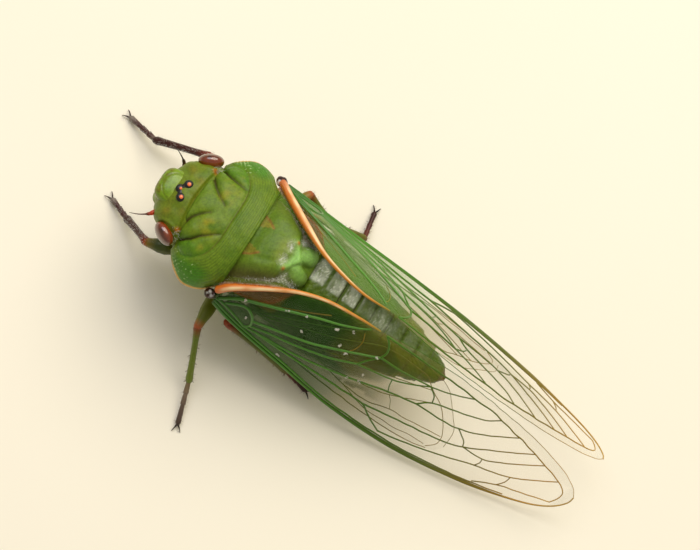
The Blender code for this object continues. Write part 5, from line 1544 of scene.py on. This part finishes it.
def clavus_finish():
    """Thick vein of tanned cuticle: orange, red-brown where it meets the back, with a painted cream highlight
    along its crest.
    """
    made = toned("orange_clavus_cuticle", "tone", [
        (0.0, "#C4601E"), (0.15, "#D47628"), (0.5, "#DA862C"), (0.85, "#C8862A"), (1.0, "#7A8228")],
        gloss=0.34, coat=0.25, relief=0.25)
    tree = made.node_tree
    shader = tree.nodes["Principled BSDF"]
    colour = shader.inputs["Base Color"].links[0].from_node
    coords = (add(tree, "ShaderNodeTexCoord"), "Object")
    dots = add(tree, "ShaderNodeTexNoise", Vector=coords, Scale=per_metre(0.16), Detail=2.0)
    broken = add(tree, "ShaderNodeMapRange", i0=(dots, 0), i1=0.4, i2=0.58)
    streak = add(tree, "ShaderNodeAttribute", mark("streak"))
    crest = add(tree, "ShaderNodeAttribute", mark("crest"))
    red = add(tree, "ShaderNodeMath", {"operation": "MULTIPLY"}, i0=(streak, "Fac"), i1=(broken, 0))
    dark = add(tree, "ShaderNodeMix", MIX, i0=(red, 0), i6=(colour, 0), i7="#7A1C10")
    # Painted highlight: cream where the crest mark lies.
    pale = add(tree, "ShaderNodeMix", MIX, i0=(crest, "Fac"), i6=(dark, 2), i7="#F8DCA8")
    tree.links.new(pale.outputs[2], shader.inputs["Base Color"])
    return made


def even_surface(name, code, gloss, coat=0.0, blotch=None):
    """A hair, bead or ring: one colour with at most a soft second tone, and a clear coat if it is wet."""
    made, tree, shader = new_material(name)
    coords = (add(tree, "ShaderNodeTexCoord"), "Object")
    cloud = add(tree, "ShaderNodeTexNoise", Vector=coords, Scale=per_metre(0.25), Detail=3.0, Roughness=0.6)
    colour = add(tree, "ShaderNodeMix", MIX, i0=(cloud, 0), i6=code, i7=blotch or code)
    tree.links.new(colour.outputs[2], shader.inputs["Base Color"])
    shader.inputs["Roughness"].default_value = gloss
    shader.inputs["Coat Weight"].default_value = coat
    shader.inputs["Coat Roughness"].default_value = 0.03
    return made


def floor_finish():
    """Matt pale studio board."""
    made, tree, shader = new_material("pale_board")
    coords = (add(tree, "ShaderNodeTexCoord"), "Object")
    cloud = add(tree, "ShaderNodeTexNoise", Vector=coords, Scale=per_metre(60), Detail=2.0)
    colour = add(tree, "ShaderNodeMix", MIX, i0=(cloud, 0), i6="#FAF5E4", i7="#FDF8EA")
    tree.links.new(colour.outputs[2], shader.inputs["Base Color"])
    shader.inputs["Roughness"].default_value = 0.85
    return made


def body_looks():
    """Finishes of the body and its head parts.

    The shell is cuticle that hardened in the air after the last moult and sweats a thin bloom of wax, so
    the eye sees a satin green with soft highlights and pale powder in its hollows.
    """
    looks = {}
    # Collar: fine ribs whose grooves have painted shade and read as dark lines, painted shade in the disc's
    # fissures, and a cream rolled rim.
    looks["collar"] = cuticle("waxy_cuticle_collar", "#6C8618", "#567612", [
        ("bright", "#468210"), ("lobes", "#98921E"), ("striae", "#4A6A0E"), ("line", "#564410"),
        ("dark", "#382C08"), ("pale", "#B4D08C"), ("rim", "#D8A850"), ("under", "#7E8634")], gloss=0.48)
    # Head: the same shell, browner between the eyes.
    looks["head"] = cuticle("waxy_cuticle_head", "#707F16", "#5A7614", [
        ("olive", "#7E7218"), ("orange", "#A8681C"), ("under", "#8A8E3C")], gloss=0.48)
    # Back: brown markings in the shell, painted shade on the flanks, most on the left, painted light on the
    # right teal pillow, and white wax that stays matt where it lies thick.
    looks["back"] = cuticle("waxy_cuticle_mesonotum", "#66821C", "#56761A", [
        ("side", "#4C4814"), ("teal", "#8CBE5E"), ("yellow", "#8E9A30"), ("mark_fill", "#94842C"),
        ("mark_edge", "#94562A"), ("orange", "#B86A22"), ("fringe", "#C07A5A"), ("wax", "#C8CEBC"),
        ("under", "#7E8644")], gloss=0.46, dusty=True)
    # Abdomen: smoother rings, glossier than the back, each with a square of wax.
    looks["abdomen"] = cuticle("waxy_cuticle_abdomen", "#5A701A", "#486216", [
        ("mid_green", "#46701A"), ("seam", "#36300E"), ("wax", "#D8DECE"), ("tip", "#5E4A1E"),
        ("under", "#8C9044")], gloss=0.3, dusty=True, blotch_mm=0.9, relief=0.6)
    # Face: the brightest green, rubbed free of wax, so it has a clear sharp highlight; its rear edge has a
    # painted highlight.
    looks["face"] = cuticle("waxy_cuticle_face", "#7A9818", "#6C9014", [
        ("edge", "#9AB43C"), ("soil", "#6A6414"), ("ring", "#5E6E10"), ("under", "#8A942C")],
        gloss=0.34, coat=0.28, relief=0.3)
    # Eyes: thousands of clear lenses too small to see, which together shine like polished stone.
    looks["eye"] = cuticle("polished_compound_eye", "#541E08", "#64280C", [
        ("rim", "#9A3C10"), ("pupil", "#080302")], gloss=0.3, coat=1.0, relief=0.04, blotch_mm=0.8)
    shine = looks["eye"].node_tree.nodes["Principled BSDF"].inputs
    shine["Coat Roughness"].default_value = 0.1
    shine["Coat IOR"].default_value = 1.75
    # Ocelli: clear lenses over orange, bright as wet beads, each in a dull black ring.
    looks["ocellus"] = even_surface("clear_orange_lens", "#F0642E", 0.12, 0.9, "#FF9058")
    looks["ocellus_ring"] = even_surface("black_cuticle", "#0E0C0A", 0.4, 0.2)
    # Beak: green cuticle that tans to dark brown at its hardened tip.
    looks["beak"] = toned("beak_cuticle", "tone", [
        (0.0, "#8A9A3A"), (0.4, "#7A8A34"), (0.8, "#6A4A22"), (1.0, "#2A160C")])
    # Antennae: red-brown joints and a near-black bristle; the right one lies in the face's shade.
    looks["antenna", LEFT] = toned("antenna_cuticle", "tone", [
        (0.0, "#8A4A1E"), (0.25, "#C0401C"), (0.4, "#5A2A1A"), (1.0, "#2A1A14")])
    looks["antenna", RIGHT] = toned("shaded_antenna_cuticle", "tone", [
        (0.0, "#5E5A18"), (0.25, "#4A2A14"), (0.4, "#2E1A12"), (1.0, "#1E120E")])
    # Opercula: thin pale plates, smoother than the back.
    looks["operculum"] = cuticle("pale_under_cuticle", "#8A9448", "#7A8A3C", gloss=0.4)
    return looks


def leg_looks():
    """Finishes of the legs: tanned cuticle with a satin gloss, whose colour changes joint by joint."""
    return {
        # Dark and coarse, with an orange knee and greyish joints in the foot.
        "fore": toned("dark_leg_cuticle", "tone", [
            (0.0, "#6A6A1E"), (0.3, "#3E4C10"), (0.36, "#7A6A1A"), (0.4, "#B04618"), (0.44, "#7A2410"),
            (0.5, "#40120A"), (0.7, "#320C06"), (0.74, "#7A6A5E"), (0.78, "#42140C"), (0.92, "#3E160E"),
            (0.95, "#7E746A"), (1.0, "#30120C")], gloss=0.34, coat=0.15, relief=0.7),
        # Green with a red-brown knee and a greyish foot.
        "mid": toned("green_leg_cuticle", "tone", [
            (0.0, "#6A6E22"), (0.34, "#6A7418"), (0.385, "#A8562A"), (0.44, "#7E3412"), (0.49, "#5E7016"),
            (0.68, "#6A7A1C"), (0.72, "#6B5A2A"), (0.8, "#7A6854"), (0.93, "#54443A"), (1.0, "#241610")]),
        # Green with a red-brown knee and a dark brown foot.
        "hind": toned("brown_leg_cuticle", "tone", [
            (0.0, "#6A6E22"), (0.33, "#5A6614"), (0.38, "#A8481A"), (0.45, "#8A3812"), (0.5, "#5E6A16"),
            (0.66, "#66661A"), (0.71, "#6A2A10"), (0.85, "#4E1810"), (1.0, "#200C08")]),
    }


def wing_looks():
    """Finishes of the wings: clear film on tanned veins, which give thin glossy lines."""
    looks = {
        # Painted shade: the left film lies in the body's shade and is painted dark green, the right one lit
        # leaf green.
        ("membrane", LEFT): membrane_film("clear_film_green_stain_painted_shade", "#D0AC40",
                                          ("#2E5414", "#3C6420"), 0.022, 0.72),
        ("membrane", RIGHT): membrane_film("clear_film_green_stain_painted_lit", "#D0AC40",
                                           ("#6A9438", "#7EA44E"), 0.022, 0.56),
        # Hollow veins full of green blood near the root, tanned golden towards the tip.
        "veins": toned("vein_cuticle", "hue", [
            (0.0, "#346A1A"), (0.25, "#4E8C22"), (0.45, "#447012"), (0.66, "#54660C"), (0.8, "#7E6C0E"),
            (0.92, "#B0841A"), (1.0, "#C09A40")], gloss=0.34, coat=0.12, relief=0.1),
        # The same veins, thinner and duller under the upper film.
        "hind_veins": toned("hind_vein_cuticle", "hue", [
            (0.0, "#4E7A1E"), (0.25, "#4A7418"), (0.45, "#5E6A1C"), (0.62, "#8A7424"), (1.0, "#A08A4A")],
            gloss=0.35, relief=0.1),
        # Creases of the folded lobe, where doubled film catches golden light.
        "fold_lines": toned("golden_fold_cuticle", "hue", [(0.0, "#A8801E"), (1.0, "#B88A30")],
                            gloss=0.35, relief=0.1),
        "clavus": clavus_finish(),
        # Doubled film, dark red and see-through.
        "red_fold": cuticle("red_fold_film", "#4E1C12", "#42200F", [("rim", "#9A2A22")], gloss=0.35),
        # Thick green film of the cell at the root, nearly opaque and matt.
        "basal_cell": cuticle("green_cell_film", "#30480A", "#26400C", gloss=0.5),
        # Dark glossy hinge with matt white wax on it.
        "hinge": cuticle("dark_hinge_cuticle", "#3A180C", "#1C0C08", [("wax", "#E4E4E0")], gloss=0.26,
                         dusty=True,
                         blotch_mm=0.6),
        # Narrow cell along the costa: brown-green film that dims what is behind it.
        "costal_fold": cuticle("costal_cell_film", "#3C4410", "#4A5216", gloss=0.4),
    }
    for name, alpha in (("red_fold", 0.6), ("costal_fold", 0.5)):
        looks[name].node_tree.nodes["Principled BSDF"].inputs["Alpha"].default_value = alpha
    return looks


def fur_looks():
    """Finishes of hair, wax crumbs and lint: dry and matt, without a highlight."""
    return {
        "lint": even_surface("lint_and_wax", "#D8D4CC", 0.9, 0.0, "#B8B2A8"),
        "white_hair": even_surface("white_hair", "#E6E8E0", 0.6),
        "pale_hair": even_surface("pale_brown_hair", "#8A7A62", 0.6),
        "dark_hair": even_surface("dark_bristle", "#2A1C14", 0.5),
    }


def make_body(looks):
    """Head, back, tail and legs, as skins by name; each rides on the one body."""
    skins = {
        "collar": pronotum_shield(looks["collar"]),
        "head": head_shell(looks["head"]),
        "face": postclypeus(looks["face"]),
        "back": mesonotum(looks["back"]),
        "abdomen": abdomen_shell(looks["abdomen"]),
    }
    for side in (LEFT, RIGHT):
        skins["eye", side] = eye(side, looks["eye"])
    for side in (LEFT, RIGHT):
        skins["antenna", side] = antenna(side, looks["antenna", side])
    ocelli(looks["ocellus"], looks["ocellus_ring"])
    skins["beak"] = beak(looks["beak"])
    for pair, side in LEGS:
        skins[pair, side] = leg_skin(pair, side, looks[pair])
    for skin in skins.values():
        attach(skin, "root")
    return skins


def make_wings(looks):
    """Both pairs of wings with their roots, and lint on the left one; returns the parts with fur."""
    skins = {}
    for side in (LEFT, RIGHT):
        forewing(side, looks)
        clavus(side, looks["clavus"])
        hindwing(side, looks)
        wing_folds(side, looks)
        skins["hinge", side] = wing_hinge(side, looks["hinge"])
        skins["web", side] = wing_root_web(side, looks["back"])
    lint_flecks(looks["lint"])
    return skins


def make_fur(skins, looks):
    """Short fur on the head, the back and the wings' roots, and bristles on the legs."""
    white = looks["white_hair"]
    coats = [
        hair_coat("hairs_web_left", skins["web", LEFT], white, 45, 0.5, 0.017, BACK_LEAN, 0.4, 8),
        hair_coat("hairs_web_right", skins["web", RIGHT], white, 45, 0.5, 0.017, BACK_LEAN, 0.4, 9),
        hair_coat("hairs_head", skins["head"], white, 26, 0.55, 0.016, (0, 0.6, 0.4), 0.4, 3),
        hair_coat("hairs_mesonotum", skins["back"], white, 22, 0.6, 0.016, (0, 0.6, 0.3), 0.4, 4),
    ]
    for pair, side in LEGS:
        tint, count = LEG_FUR[pair]
        coats.append(hair_coat("bristles_" + pair + "_" + SIDE_NAMES[side], skins[pair, side], looks[tint],
                               count,
                               0.5, 0.016, (0, 0, -0.5), 0.25, 11))
    for side in (LEFT, RIGHT):
        coats.append(hair_coat("hairs_hinge_" + SIDE_NAMES[side], skins["hinge", side], white, 60, 0.35,
                               0.018,
                               BACK_LEAN, 0.4, 6))
    for coat in coats:
        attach(coat, "root")


def build():
    """Makes the whole animal, its floor, the camera and the light."""
    right, up, back = make_camera()
    looks = {**body_looks(), **leg_looks(), **wing_looks(), **fur_looks()}
    skins = {**make_body(looks), **make_wings(looks)}
    make_fur(skins, looks)
    for side in (LEFT, RIGHT):
        operculum(side, looks["operculum"])
    make_floor(floor_finish())
    light_scene(right, up, back)


build()
